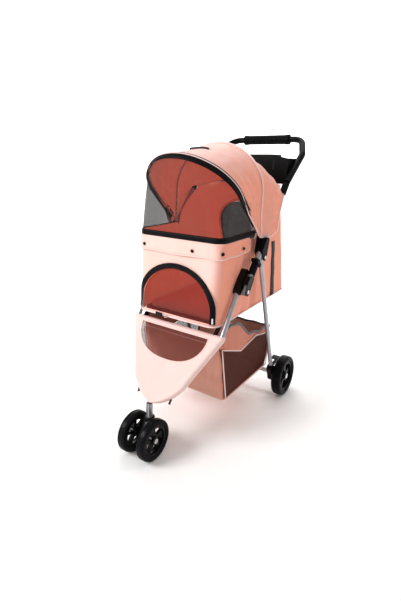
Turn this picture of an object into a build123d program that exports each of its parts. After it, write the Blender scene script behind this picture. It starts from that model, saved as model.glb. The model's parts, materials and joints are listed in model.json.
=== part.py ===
from build123d import *

import os
from math import cos, pi, radians, sin

# Three-wheel folding pet stroller with a fabric cabin, a two-hoop canopy and a basket.
# X runs across (+X is the stroller's left), -Y is the front, Z is up.
# The origin is on the floor under the middle of the bounding box.

# Driving dimensions, in millimetres and degrees ----------------------------------------
REAR_WHEEL_R = 75.0
REAR_WHEEL_WIDTH = 36.0
REAR_WHEEL_X = 207.0
REAR_AXLE_Y = 210.0
REAR_AXLE_R = 4.5
TYRE_SHARE = 0.27
AXLE_HEAD = 3.5

FRONT_WHEEL_R = 62.5
FRONT_WHEEL_WIDTH = 28.0
FRONT_WHEEL_X = 37.4
FRONT_AXLE_Y = -355.0
FRONT_AXLE_R = 4.0
STEERING_Y = -326.0
STEM_R = 7.0
HEAD_TUBE_R = 10.0
HEAD_TUBE_Z = (112.0, 156.0)

TUBE_R = 8.0
TUBE_WALL = 1.5
RUN_GAP = 0.05

CROSSBAR_YZ = (-190.0, 354.5)
FRONT_LEG_X = 165.0
FRONT_LEG_ANGLE = 55.3
FRONT_LEG_TOP = 228.5
LOWER_LEG_ANGLE = 57.8
LOWER_LEG_CORNER = (78.0, 182.0)
LOWER_LEG_FOOT = (2.0, 230.0)
FOLD_PIVOT_YZ = (-90.5, 484.5)
FOLD_PIN_R = 4.0

HANDLE_X = 184.0
HANDLE_ANGLE = 49.1
HANDLE_TUBE_TOP = 414.0
HANDLE_TUBE_TAIL = 10.0
HANDLE_BAR_YZ = (400.2, 955.0)
HANDLE_LOOP_R = 11.5
HANDLE_LOOP_BEND = 50.0
HANDLE_KNEE_YZ = (312.0, 897.0)
HANDLE_BAR_HALF = 146.0
GRIP_LENGTH = 190.0
GRIP_R = 17.5

REAR_LEG_X = 180.0
REAR_LEG_R = 7.5
REAR_LEG_PIVOT_YZ = (15.0, 573.5)
REAR_LEG_FOOT_YZ = (166.0, 88.0)

CABIN_FLOOR_Z = 389.5
CABIN_RIM_Z = 655.0
CABIN_BACK_TOP_Z = 795.0
CABIN_FLOOR = (-201.5, 310.0, 149.0)
CABIN_RIM = (-183.5, 232.0, 157.0)
CABIN_CORNER = 30.0
CABIN_WALL = 3.0

HOOP_PIVOT_YZ = (22.0, 653.0)
HOOP_WIRE_R = 2.5
FRONT_HOOP = (45.0, 158.5, 322.0, 170.0)
MID_HOOP = (93.0, 165.5, 270.0, 120.0)
FLARE = (118.0, 188.5, 244.0, 132.0)
REAR_EDGE = (139.6, 188.5, 232.0, 150.0)
CANOPY_SKIN = 2.5
CANOPY_GAP = 4.0
CANOPY_BASE = 30.0
FLARE_BASE = 24.0

BASKET_FLOOR_Z = 122.0
BASKET_X = 153.0
BASKET_WALL = 2.5

os.makedirs("parts", exist_ok=True)


# Shared helpers ------------------------------------------------------------------------
def save(piece, name):
    """Label a finished piece and write it as its own STEP file."""
    piece.part.label = name
    export_step(piece.part, f"parts/{name}.step")


def along(origin, angle, run, rise=0.0):
    """Side-view point a run along a sloping line and a rise square to it, towards the front."""
    slope = radians(angle)
    y = origin[0] + run * cos(slope) - rise * sin(slope)
    z = origin[1] + run * sin(slope) + rise * cos(slope)
    return (y, z)


def handle_point(run, rise=0.0):
    """Side-view point measured from the fold pivot along the handle tube."""
    return along(FOLD_PIVOT_YZ, HANDLE_ANGLE, run, rise)


def leg_point(run, rise=0.0):
    """Side-view point measured from the crossbar along the upper front leg."""
    return along(CROSSBAR_YZ, FRONT_LEG_ANGLE, run, rise)


def side_plane(x):
    """Plane square to X, drawn in (y, z)."""
    return Plane.YZ.offset(x)


def rod_x(x_from, x_to, yz, radius):
    """Straight round bar along X."""
    with BuildPart() as rod:
        with BuildSketch(side_plane(x_from)):
            with Locations(yz):
                Circle(radius)
        extrude(amount=x_to - x_from)
    return rod


def tube(points, radius, wall, bend=None):
    """Round tube along straight runs, joined by arcs when a bend radius is given."""
    with BuildPart() as piece:
        with BuildLine() as route:
            if bend:
                FilletPolyline(*points, radius=bend)
            else:
                Polyline(*points)
        with BuildSketch(Plane(origin=route.line @ 0, z_dir=route.line % 0)):
            Circle(radius)
            if wall:
                Circle(radius - wall, mode=Mode.SUBTRACT)
        sweep()
    return piece


def mirrored(piece):
    """The same piece on the stroller's other side."""
    with BuildPart() as other:
        mirror(piece.part, about=Plane.YZ)
    return other


def both_sides(piece):
    """One node holding a piece and its mirror image."""
    with BuildPart() as pair:
        add(piece.part)
        mirror(piece.part, about=Plane.YZ)
    return pair


def hull_plate(x_from, x_to, circles):
    """Flat plate square to X whose outline wraps a list of (yz, radius) circles."""
    with BuildPart() as plate:
        with BuildSketch(side_plane(x_from)):
            with BuildLine():
                for yz, radius in circles:
                    CenterArc(yz, radius, 0, 360)
            make_hull()
        extrude(amount=x_to - x_from)
    return plate


# Wheels --------------------------------------------------------------------------------
def tyre(x, y, radius, width):
    """Rubber ring with a rounded tread and two shallow grooves."""
    depth = radius * TYRE_SHARE
    with BuildPart() as ring:
        with BuildSketch(Plane(origin=(x, y, radius), x_dir=(1, 0, 0), z_dir=(0, -1, 0))):
            with Locations((0, radius - depth / 2)):
                RectangleRounded(width, depth, depth * 0.45)
            with Locations((-width * 0.22, radius), (width * 0.22, radius)):
                Rectangle(1.6, 2.0, mode=Mode.SUBTRACT)
        revolve(axis=Axis((x, y, radius), (1, 0, 0)))
    return ring


def hub(x, y, radius, width, bore, boss_r):
    """Moulded rim, five broad spokes with openings between them, and a boss on the axle."""
    rim_r = radius * (1 - TYRE_SHARE) - RUN_GAP
    rim_width = width * 0.72
    with BuildPart() as piece:
        with BuildSketch(side_plane(x - rim_width / 2)):
            with Locations((y, radius)):
                Circle(rim_r)
                Circle(rim_r - 6.0, mode=Mode.SUBTRACT)
        extrude(amount=rim_width)
        with BuildSketch(side_plane(x - width * 0.2)):
            with Locations((y, radius)):
                Circle(rim_r - 4.0)
                Circle(rim_r - 9.0, mode=Mode.SUBTRACT)
                Circle(boss_r + 4.0)
                with PolarLocations(rim_r / 2, 5, start_angle=90):
                    Rectangle(rim_r - 8.0, rim_r * 0.24)
        extrude(amount=width * 0.4)
        with BuildSketch(side_plane(x - rim_width / 2)):
            with Locations((y, radius)):
                Circle(boss_r)
        extrude(amount=rim_width)
        with BuildSketch(side_plane(x - width)):
            with Locations((y, radius)):
                Circle(bore)
        extrude(amount=2 * width, mode=Mode.SUBTRACT)
    return piece


for side, sign in (("left", 1), ("right", -1)):
    save(tyre(sign * REAR_WHEEL_X, REAR_AXLE_Y, REAR_WHEEL_R, REAR_WHEEL_WIDTH), f"rear_tyre_{side}")
    save(
        hub(sign * REAR_WHEEL_X, REAR_AXLE_Y, REAR_WHEEL_R, REAR_WHEEL_WIDTH, REAR_AXLE_R + RUN_GAP, 15.0),
        f"rear_hub_{side}",
    )
    save(tyre(sign * FRONT_WHEEL_X, FRONT_AXLE_Y, FRONT_WHEEL_R, FRONT_WHEEL_WIDTH), f"front_tyre_{side}")
    save(
        hub(sign * FRONT_WHEEL_X, FRONT_AXLE_Y, FRONT_WHEEL_R, FRONT_WHEEL_WIDTH, FRONT_AXLE_R + RUN_GAP, 12.5),
        f"front_hub_{side}",
    )

# Swivel caster -------------------------------------------------------------------------
BRACKET_HALF_WIDTH = 19.0
COLLAR_TOP_Z = HEAD_TUBE_Z[0] - 0.5

with BuildPart() as caster_bracket:
    add(
        hull_plate(
            -BRACKET_HALF_WIDTH,
            BRACKET_HALF_WIDTH,
            [((FRONT_AXLE_Y, FRONT_WHEEL_R), 15.0), ((STEERING_Y, 88.0), 13.0), ((STEERING_Y - 4, 92.0), 14.0)],
        ).part
    )
    with BuildSketch(Plane.XY.offset(84)):
        with Locations((0, STEERING_Y)):
            Circle(16)
    extrude(amount=COLLAR_TOP_Z - 84)
    fillet(caster_bracket.edges().group_by(Axis.Z)[-1], 2.0)
    with BuildSketch(Plane.XY.offset(76)):
        with Locations((0, STEERING_Y)):
            Circle(STEM_R + RUN_GAP)
    extrude(amount=60, mode=Mode.SUBTRACT)
    with BuildSketch(side_plane(-30)):
        with Locations((FRONT_AXLE_Y, FRONT_WHEEL_R)):
            Circle(FRONT_AXLE_R + RUN_GAP)
    extrude(amount=60, mode=Mode.SUBTRACT)
save(caster_bracket, "caster_bracket")

with BuildPart() as caster_stem:
    with BuildSketch(Plane.XY.offset(76)):
        with Locations((0, STEERING_Y)):
            Circle(STEM_R)
    extrude(amount=HEAD_TUBE_Z[1] - 10 - 76)
    chamfer(caster_stem.edges().group_by(Axis.Z)[-1], 1.0)
save(caster_stem, "caster_stem")


def headed_axle(end, yz, radius, head_r):
    """Axle with a head at each end, outside the hubs."""
    with BuildPart() as axle:
        add(rod_x(-end, end, yz, radius).part)
        for sign in (-1, 1):
            add(rod_x(sign * end, sign * (end + AXLE_HEAD), yz, head_r).part)
        fillet(axle.edges().filter_by(GeomType.CIRCLE).sort_by(Axis.X)[0], 1.5)
        fillet(axle.edges().filter_by(GeomType.CIRCLE).sort_by(Axis.X)[-1], 1.5)
    return axle


front_axle_end = FRONT_WHEEL_X + 0.36 * FRONT_WHEEL_WIDTH + 0.5
save(headed_axle(front_axle_end, (FRONT_AXLE_Y, FRONT_WHEEL_R), FRONT_AXLE_R, 8.0), "front_axle")

# Front frame: two tubes that meet at the steering head ---------------------------------
leg_top = leg_point(FRONT_LEG_TOP)

leg_route = [(FRONT_LEG_X, *leg_top), (FRONT_LEG_X, *CROSSBAR_YZ)]
for across, down in (LOWER_LEG_CORNER, LOWER_LEG_FOOT):
    leg_route.append((across, *along(CROSSBAR_YZ, LOWER_LEG_ANGLE, -down)))
LEG_BEND = 55.0

with BuildPart() as front_leg_left:
    add(tube(leg_route, TUBE_R, TUBE_WALL, LEG_BEND).part)
    split(bisect_by=Plane.YZ.offset(0.1), keep=Keep.TOP)
    with BuildSketch(Plane.XY.offset(100)):
        with Locations((0, STEERING_Y)):
            Circle(HEAD_TUBE_R)
    extrude(amount=HEAD_TUBE_Z[1] + 0.1 - 100, mode=Mode.SUBTRACT)
    with BuildSketch(side_plane(FRONT_LEG_X - 20)):
        with Locations(FOLD_PIVOT_YZ):
            Circle(FOLD_PIN_R)
    extrude(amount=40, mode=Mode.SUBTRACT)
save(front_leg_left, "front_leg_left")
save(mirrored(front_leg_left), "front_leg_right")

with BuildPart() as steering_head:
    with BuildSketch(Plane.XY.offset(HEAD_TUBE_Z[0])):
        with Locations((0, STEERING_Y)):
            Circle(HEAD_TUBE_R)
            Circle(STEM_R + RUN_GAP, mode=Mode.SUBTRACT)
    extrude(amount=HEAD_TUBE_Z[1] - HEAD_TUBE_Z[0])
save(steering_head, "steering_head")

with BuildPart() as front_crossbar:
    with BuildSketch(side_plane(-FRONT_LEG_X)):
        with Locations(CROSSBAR_YZ):
            Circle(TUBE_R)
            Circle(TUBE_R - TUBE_WALL, mode=Mode.SUBTRACT)
    extrude(amount=2 * FRONT_LEG_X)
    add(tube(leg_route, TUBE_R + 0.02, None, LEG_BEND).part, mode=Mode.SUBTRACT)
    add(mirrored(tube(leg_route, TUBE_R + 0.02, None, LEG_BEND)).part, mode=Mode.SUBTRACT)
save(front_crossbar, "front_crossbar")

# Hinge housings on the front legs: a sleeve over the tube and a plate outside the handle
SLEEVE_FROM = 150.0
SLEEVE_TO = 233.0
SLEEVE_R = 11.5
SLEEVE_X = (FRONT_LEG_X - 10.0, FRONT_LEG_X + 10.2)
PLATE_X = (HANDLE_X + 8.4, HANDLE_X + 11.6)

with BuildPart() as hinge_housing:
    add(
        hull_plate(
            SLEEVE_X[0],
            SLEEVE_X[1],
            [(leg_point(SLEEVE_FROM + 8), SLEEVE_R), (leg_point(SLEEVE_TO - SLEEVE_R), SLEEVE_R),
             (FOLD_PIVOT_YZ, 12.0)],
        ).part
    )
    add(
        hull_plate(
            PLATE_X[0],
            PLATE_X[1],
            [(FOLD_PIVOT_YZ, 13.0), (handle_point(44), 9.5), (handle_point(20, 12), 6.0), (handle_point(42, 12), 6.0)],
        ).part
    )
    with BuildSketch(side_plane(SLEEVE_X[1] - 0.1)):
        Polygon(handle_point(18, 9.2), handle_point(46, 9.2), handle_point(46, 16), handle_point(18, 16), align=None)
    extrude(amount=PLATE_X[0] - SLEEVE_X[1] + 0.2)
    with BuildSketch(Plane(origin=(FRONT_LEG_X, *leg_point(100)), x_dir=(1, 0, 0),
                           z_dir=(0, cos(radians(FRONT_LEG_ANGLE)), sin(radians(FRONT_LEG_ANGLE))))):
        Circle(TUBE_R + 0.02)
    extrude(amount=FRONT_LEG_TOP - 100 + 0.5, mode=Mode.SUBTRACT)
    with BuildSketch(side_plane(SLEEVE_X[0] - 2)):
        with Locations(FOLD_PIVOT_YZ):
            Circle(FOLD_PIN_R)
    extrude(amount=60, mode=Mode.SUBTRACT)
save(hinge_housing, "hinge_housing_left")
save(mirrored(hinge_housing), "hinge_housing_right")

with BuildPart() as fold_pin:
    add(rod_x(SLEEVE_X[0] + 0.3, PLATE_X[1] + 0.5, FOLD_PIVOT_YZ, FOLD_PIN_R).part)
    add(rod_x(PLATE_X[1], PLATE_X[1] + 1.8, FOLD_PIVOT_YZ, 6.0).part)
save(both_sides(fold_pin), "fold_pins")

# Front panel: a fabric triangle over the two lower tubes, with a half-moon window ------
PANEL_THICK = 3.0
PANEL_TOP = -8.0
PANEL_CORNER = (100.0, 150.0)
PANEL_ROUND = (68.0, 206.0)
PANEL_TIP = 236.0
PANEL_WINDOW_TOP = -2.0
PANEL_WINDOW_WIDTH = 130.0
PANEL_WINDOW_DROP = 98.0
leg_slope = radians(LOWER_LEG_ANGLE)
panel_plane = Plane(origin=(0, *CROSSBAR_YZ), x_dir=(1, 0, 0), z_dir=(0, -sin(leg_slope), cos(leg_slope)))
panel_face = panel_plane.offset(TUBE_R + 2.2)


def panel_window(margin=0.0):
    """Half-moon outline, flat side up, drawn in the panel's plane."""
    with BuildSketch() as window:
        with Locations((0, PANEL_WINDOW_TOP)):
            Ellipse(PANEL_WINDOW_WIDTH - margin, PANEL_WINDOW_DROP - margin)
        with Locations((0, PANEL_WINDOW_TOP - margin)):
            Rectangle(400, 200, align=(Align.CENTER, Align.MIN), mode=Mode.SUBTRACT)
    return window.sketch


with BuildPart() as front_panel:
    with BuildSketch(panel_face):
        with BuildLine():
            Line((-FRONT_LEG_X - 4, -PANEL_TOP), (FRONT_LEG_X + 4, -PANEL_TOP))
            Line((FRONT_LEG_X + 4, -PANEL_TOP), (PANEL_CORNER[0], -PANEL_CORNER[1]))
            ThreePointArc((PANEL_CORNER[0], -PANEL_CORNER[1]), (PANEL_ROUND[0], -PANEL_ROUND[1]), (0, -PANEL_TIP))
            ThreePointArc((0, -PANEL_TIP), (-PANEL_ROUND[0], -PANEL_ROUND[1]), (-PANEL_CORNER[0], -PANEL_CORNER[1]))
            Line((-PANEL_CORNER[0], -PANEL_CORNER[1]), (-FRONT_LEG_X - 4, -PANEL_TOP))
        make_face()
        add(panel_window(), mode=Mode.SUBTRACT)
    extrude(amount=PANEL_THICK)
save(front_panel, "front_panel")

with BuildPart() as front_panel_mesh:
    with BuildSketch(panel_face):
        add(panel_window(0.2))
    extrude(amount=1.0)
save(front_panel_mesh, "front_panel_mesh")

# Handle frame --------------------------------------------------------------------------
handle_low = handle_point(-HANDLE_TUBE_TAIL)
handle_high = handle_point(HANDLE_TUBE_TOP)
handle_dir = (0, cos(radians(HANDLE_ANGLE)), sin(radians(HANDLE_ANGLE)))

with BuildPart() as handle_tube:
    add(tube([(HANDLE_X, *handle_low), (HANDLE_X, *handle_high)], TUBE_R, TUBE_WALL).part)
    with BuildSketch(side_plane(HANDLE_X - 20)):
        with Locations(FOLD_PIVOT_YZ):
            Circle(FOLD_PIN_R + RUN_GAP)
    extrude(amount=40, mode=Mode.SUBTRACT)
save(handle_tube, "handle_tube_left")
save(mirrored(handle_tube), "handle_tube_right")

loop_half = [(HANDLE_X, *handle_point(HANDLE_TUBE_TOP + 6.0)), (HANDLE_X, *HANDLE_KNEE_YZ),
             (HANDLE_BAR_HALF, *HANDLE_BAR_YZ)]
loop_other_half = [(-x, y, z) for x, y, z in reversed(loop_half)]
save(tube(loop_half + loop_other_half, HANDLE_LOOP_R, None, HANDLE_LOOP_BEND), "handle_loop")

with BuildPart() as handle_grip:
    with BuildSketch(Plane(origin=(0, *HANDLE_BAR_YZ), x_dir=(1, 0, 0), z_dir=(0, -1, 0))):
        with Locations((0, (GRIP_R + HANDLE_LOOP_R) / 2)):
            Rectangle(GRIP_LENGTH, GRIP_R - HANDLE_LOOP_R - 0.1)
        with Locations((-GRIP_LENGTH / 2 + 6, (GRIP_R + HANDLE_LOOP_R) / 2 + 0.7),
                       (GRIP_LENGTH / 2 - 6, (GRIP_R + HANDLE_LOOP_R) / 2 + 0.7)):
            Rectangle(12, GRIP_R - HANDLE_LOOP_R + 1.2)
        with GridLocations(15, 0, 7, 1):
            with Locations((0, GRIP_R)):
                Rectangle(4, 2.4, mode=Mode.SUBTRACT)
    revolve(axis=Axis((0, *HANDLE_BAR_YZ), (1, 0, 0)))
save(handle_grip, "handle_grip")

# Console: tray between the handle arms with two cup wells and two see-through slots ----
CONSOLE_HALF = HANDLE_X - HANDLE_LOOP_R - 0.4
CUP_R = 36.0
CUP_X = 70.0
CUP_Y = 257.0
CUP_FLOOR_Z = 842.0
CONSOLE_TOP_Z = 896.0
CONSOLE_SLOT_X = 119.0
CONSOLE_WALL = 3.0

with BuildPart() as console:
    with BuildSketch(side_plane(-CONSOLE_HALF)):
        Polygon((205, 792), (213, CONSOLE_TOP_Z), (301, CONSOLE_TOP_Z), (301, 838), align=None)
    extrude(amount=2 * CONSOLE_HALF)
    fillet(console.edges().filter_by(Axis.X), 5.0)
    for sign in (-1, 1):
        with BuildSketch(Plane.XZ.offset(-400)):
            Polygon((sign * 108, CONSOLE_TOP_Z), (sign * 200, CONSOLE_TOP_Z - 20), (sign * 200, CONSOLE_TOP_Z + 20),
                    (sign * 108, CONSOLE_TOP_Z + 20), align=None)
        extrude(amount=300, mode=Mode.SUBTRACT)
    with BuildSketch(Plane.XY.offset(CUP_FLOOR_Z)):
        with Locations((-CUP_X, CUP_Y), (CUP_X, CUP_Y)):
            Circle(CUP_R)
    extrude(amount=80, mode=Mode.SUBTRACT)
    with BuildSketch(Plane.XZ.offset(-400)):
        with Locations((-CONSOLE_SLOT_X, 862), (CONSOLE_SLOT_X, 862)):
            Rectangle(8, 34)
    extrude(amount=300, mode=Mode.SUBTRACT)
    with BuildSketch(Plane.XY.offset(CONSOLE_TOP_Z - 30)):
        with Locations((0, CUP_Y)):
            RectangleRounded(48, 66, 8)
    extrude(amount=60, mode=Mode.SUBTRACT)
    for x_from in (-CONSOLE_HALF + CONSOLE_WALL, CUP_X + CUP_R + CONSOLE_WALL):
        with BuildSketch(side_plane(x_from)):
            Polygon((209.5, 803), (217, 950), (330, 950), (330, 855), align=None)
        extrude(amount=CONSOLE_HALF - CUP_X - CUP_R - 2 * CONSOLE_WALL, mode=Mode.SUBTRACT)
save(console, "console_tray")

with BuildPart() as handle_sockets:
    with BuildSketch(Plane(origin=(HANDLE_X, *handle_point(372)), z_dir=handle_dir)):
        Circle(12.0)
        Circle(TUBE_R + 0.02, mode=Mode.SUBTRACT)
    extrude(amount=HANDLE_TUBE_TOP - 372)
save(both_sides(handle_sockets), "handle_sockets")

# Upper brackets: saddle on the handle tube, clevis for the rear leg, arm for the hoops -
SADDLE_FROM = 137.0
SADDLE_TO = 196.0
INNER_PLATE_X = (168.6, 171.4)
OUTER_PLATE_X = (194.4, 197.4)
LEG_PIN_R = 4.0
HOOP_PIN_R = 3.0


def saddle_outline():
    """Circles that the saddle's side view wraps."""
    return [(handle_point(SADDLE_FROM + 10), 10.6), (handle_point(SADDLE_TO - 10), 10.6)]


with BuildPart() as upper_bracket:
    add(hull_plate(INNER_PLATE_X[0], OUTER_PLATE_X[1], saddle_outline()).part)
    add(hull_plate(INNER_PLATE_X[0], INNER_PLATE_X[1], saddle_outline() + [(REAR_LEG_PIVOT_YZ, 11.0)]).part)
    add(hull_plate(OUTER_PLATE_X[0], OUTER_PLATE_X[1], saddle_outline() + [(REAR_LEG_PIVOT_YZ, 11.0)]).part)
    add(hull_plate(INNER_PLATE_X[0], INNER_PLATE_X[1], saddle_outline() + [(HOOP_PIVOT_YZ, 10.0)]).part)
    with BuildSketch(Plane(origin=(HANDLE_X, *handle_point(100)), z_dir=handle_dir)):
        Circle(TUBE_R + 0.02)
    extrude(amount=140, mode=Mode.SUBTRACT)
    with BuildSketch(side_plane(150)):
        with Locations(REAR_LEG_PIVOT_YZ):
            Circle(LEG_PIN_R)
        with Locations(HOOP_PIVOT_YZ):
            Circle(HOOP_PIN_R)
    extrude(amount=60, mode=Mode.SUBTRACT)
save(upper_bracket, "upper_bracket_left")
save(mirrored(upper_bracket), "upper_bracket_right")

with BuildPart() as rear_leg_pin:
    add(rod_x(INNER_PLATE_X[0] - 0.5, OUTER_PLATE_X[1] + 0.5, REAR_LEG_PIVOT_YZ, LEG_PIN_R).part)
    add(rod_x(OUTER_PLATE_X[1], OUTER_PLATE_X[1] + 1.8, REAR_LEG_PIVOT_YZ, 6.0).part)
    add(rod_x(INNER_PLATE_X[0] - 1.6, INNER_PLATE_X[0], REAR_LEG_PIVOT_YZ, 6.0).part)

HOOP_PIN_END_X = 153.5
with BuildPart() as bracket_pins:
    for pin in (rear_leg_pin, rod_x(HOOP_PIN_END_X, INNER_PLATE_X[1], HOOP_PIVOT_YZ, HOOP_PIN_R)):
        add(both_sides(pin).part)
save(bracket_pins, "bracket_pins")

# Lock sliders on the handle tubes, with a finger wing on each side and a return spring -
SLIDER_FROM = 58.0
SLIDER_TO = 113.0
SLIDER_R = 12.0
WING_FROM = 98.0
SLIDER_FLAT_X = SLEEVE_X[1] + 0.3


def handle_section(run):
    """Plane square to the left handle tube; local X is across, local Y points rear and down."""
    return Plane(origin=(HANDLE_X, *handle_point(run)), x_dir=(1, 0, 0), z_dir=handle_dir)


with BuildPart() as lock_slider:
    with BuildSketch(handle_section(SLIDER_FROM)):
        Circle(SLIDER_R)
    extrude(amount=SLIDER_TO - SLIDER_FROM)
    with BuildSketch(handle_section(WING_FROM)):
        RectangleRounded(26.5, 40, 6)
    extrude(amount=10)
    with BuildSketch(handle_section(SLIDER_FROM - 1)):
        with Locations((SLIDER_FLAT_X - HANDLE_X, 0)):
            Rectangle(30, 60, align=(Align.MAX, Align.CENTER))
    extrude(amount=70, mode=Mode.SUBTRACT)
    with BuildSketch(handle_section(SLIDER_FROM - 1)):
        Circle(TUBE_R + RUN_GAP)
    extrude(amount=70, mode=Mode.SUBTRACT)
save(lock_slider, "lock_slider_left")
save(mirrored(lock_slider), "lock_slider_right")

SPRING_WIRE_R = 0.8
SPRING_R = TUBE_R + SPRING_WIRE_R + 0.4
spring_length = SADDLE_FROM - SLIDER_TO - 2 * SPRING_WIRE_R - 2.0

with BuildPart() as lock_spring:
    with BuildLine() as coil:
        Helix(
            pitch=spring_length / 6,
            height=spring_length,
            radius=SPRING_R,
            center=(HANDLE_X, *handle_point(SLIDER_TO + SPRING_WIRE_R + 0.4)),
            direction=handle_dir,
        )
    with BuildSketch(Plane(origin=coil.line @ 0, z_dir=coil.line % 0)):
        Circle(SPRING_WIRE_R)
    sweep(is_frenet=True)
save(lock_spring, "lock_spring_left")
save(mirrored(lock_spring), "lock_spring_right")

# Rear legs, axle and brakes ------------------------------------------------------------
with BuildPart() as rear_leg:
    add(tube([(REAR_LEG_X, *REAR_LEG_PIVOT_YZ), (REAR_LEG_X, *REAR_LEG_FOOT_YZ)], REAR_LEG_R, None).part)
    add(rod_x(INNER_PLATE_X[1] + 0.2, OUTER_PLATE_X[0] - 0.2, REAR_LEG_PIVOT_YZ, 9.0).part)
    with BuildSketch(side_plane(REAR_LEG_X - 20)):
        with Locations(REAR_LEG_PIVOT_YZ):
            Circle(LEG_PIN_R + RUN_GAP)
    extrude(amount=40, mode=Mode.SUBTRACT)
save(rear_leg, "rear_leg_left")
save(mirrored(rear_leg), "rear_leg_right")

REAR_AXLE_YZ = (REAR_AXLE_Y, REAR_WHEEL_R)
WHEEL_BRACKET_X = (170.0, 188.0)
BRAKE_PIVOT_YZ = (186.0, 104.0)
BRAKE_PIN_R = 3.0
leg_foot_plane = Plane(
    origin=(REAR_LEG_X, *REAR_LEG_PIVOT_YZ),
    z_dir=(0, REAR_LEG_FOOT_YZ[0] - REAR_LEG_PIVOT_YZ[0], REAR_LEG_FOOT_YZ[1] - REAR_LEG_PIVOT_YZ[1]),
)

with BuildPart() as wheel_bracket:
    add(
        hull_plate(
            WHEEL_BRACKET_X[0],
            WHEEL_BRACKET_X[1],
            [((150.0, 122.0), 12.0), ((164.0, 80.0), 12.0), (REAR_AXLE_YZ, 14.0), (BRAKE_PIVOT_YZ, 8.0)],
        ).part
    )
    with BuildSketch(leg_foot_plane):
        Circle(REAR_LEG_R + 0.02)
    extrude(amount=508.5, mode=Mode.SUBTRACT)
    with BuildSketch(side_plane(150)):
        with Locations(REAR_AXLE_YZ):
            Circle(REAR_AXLE_R + RUN_GAP)
        with Locations(BRAKE_PIVOT_YZ):
            Circle(BRAKE_PIN_R)
    extrude(amount=60, mode=Mode.SUBTRACT)
save(wheel_bracket, "wheel_bracket_left")
save(mirrored(wheel_bracket), "wheel_bracket_right")

rear_axle_end = REAR_WHEEL_X + 0.36 * REAR_WHEEL_WIDTH + 0.5
save(headed_axle(rear_axle_end, REAR_AXLE_YZ, REAR_AXLE_R, 9.5), "rear_axle")

with BuildPart() as rear_cross_tube:
    with BuildSketch(side_plane(-WHEEL_BRACKET_X[0])):
        with Locations(REAR_AXLE_YZ):
            Circle(TUBE_R + 1)
            Circle(REAR_AXLE_R + RUN_GAP, mode=Mode.SUBTRACT)
    extrude(amount=2 * WHEEL_BRACKET_X[0])
save(rear_cross_tube, "rear_cross_tube")

save(both_sides(rod_x(157.5, WHEEL_BRACKET_X[1], BRAKE_PIVOT_YZ, BRAKE_PIN_R)), "brake_pins")

BRAKE_PAD_YZ = (252.0, 116.0)
with BuildPart() as brake_pedal:
    add(hull_plate(160.5, 168.5, [(BRAKE_PIVOT_YZ, 7.0), ((242.0, 114.0), 3.5)]).part)
    with BuildSketch(side_plane(142)):
        with Locations(BRAKE_PAD_YZ):
            RectangleRounded(32, 6, 2.5)
    extrude(amount=44)
    with BuildSketch(side_plane(150)):
        with Locations(BRAKE_PIVOT_YZ):
            Circle(BRAKE_PIN_R + RUN_GAP)
    extrude(amount=30, mode=Mode.SUBTRACT)
save(brake_pedal, "brake_pedal_left")
save(mirrored(brake_pedal), "brake_pedal_right")


# Cabin ---------------------------------------------------------------------------------
def cabin_outline(z, grow):
    """Rounded rectangle of the cabin at a height: front, back and half width, grown sideways."""
    share = (z - CABIN_FLOOR_Z) / (CABIN_RIM_Z - CABIN_FLOOR_Z)
    front, back, half = [low + (high - low) * share for low, high in zip(CABIN_FLOOR, CABIN_RIM)]
    return front - grow, back + grow, half + grow


def cabin_slice(z_from, z_to, grow):
    """Solid block of the cabin between two heights."""
    with BuildPart() as block:
        for z in (z_from, z_to):
            front, back, half = cabin_outline(z, grow)
            with BuildSketch(Plane.XY.offset(z)):
                with Locations((0, (front + back) / 2)):
                    RectangleRounded(2 * half, back - front, CABIN_CORNER + grow)
        loft(ruled=True)
    return block


def above_rim():
    """Everything above the cabin's top edge: level at the front, rising behind the hoops."""
    with BuildPart() as cutter:
        with BuildSketch(side_plane(-300)):
            Polygon((-300, CABIN_RIM_Z), (HOOP_PIVOT_YZ[0] + 8, CABIN_RIM_Z), (194, CABIN_BACK_TOP_Z),
                    (400, CABIN_BACK_TOP_Z), (400, 1100), (-300, 1100), align=None)
        extrude(amount=600)
    return cutter


DOOR_HALF = 129.0
DOOR_BOTTOM_Z = 400.0
DOOR_TOP_Z = 550.0
DOOR_TAPE = 9.0
WINDOW_HALF = 105.0
WINDOW_Z = (560.0, 735.0)
front_lean = (CABIN_RIM[0] - CABIN_FLOOR[0]) / (CABIN_RIM_Z - CABIN_FLOOR_Z)
door_hinge_y = CABIN_FLOOR[0] + front_lean * (DOOR_BOTTOM_Z - CABIN_FLOOR_Z)
door_plane = Plane(origin=(0, door_hinge_y, DOOR_BOTTOM_Z), x_dir=(1, 0, 0), z_dir=(0, -1, front_lean))


def arch_sketch(half, height, spring):
    """Arched outline standing on its base line."""
    with BuildSketch() as outline:
        with BuildLine():
            Line((-half, 0), (half, 0))
            Line((half, 0), (half, spring))
            EllipticalCenterArc((0, spring), half, height - spring, start_angle=0, arc_size=180)
            Line((-half, spring), (-half, 0))
        make_face()
    return outline.sketch


door_height = DOOR_TOP_Z - DOOR_BOTTOM_Z
back_lean = (CABIN_RIM[1] - CABIN_FLOOR[1]) / (CABIN_RIM_Z - CABIN_FLOOR_Z)
window_y = CABIN_FLOOR[1] + back_lean * (WINDOW_Z[0] - CABIN_FLOOR_Z)
window_plane = Plane(origin=(0, window_y, WINDOW_Z[0]), x_dir=(-1, 0, 0), z_dir=(0, 1, -back_lean))

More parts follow.
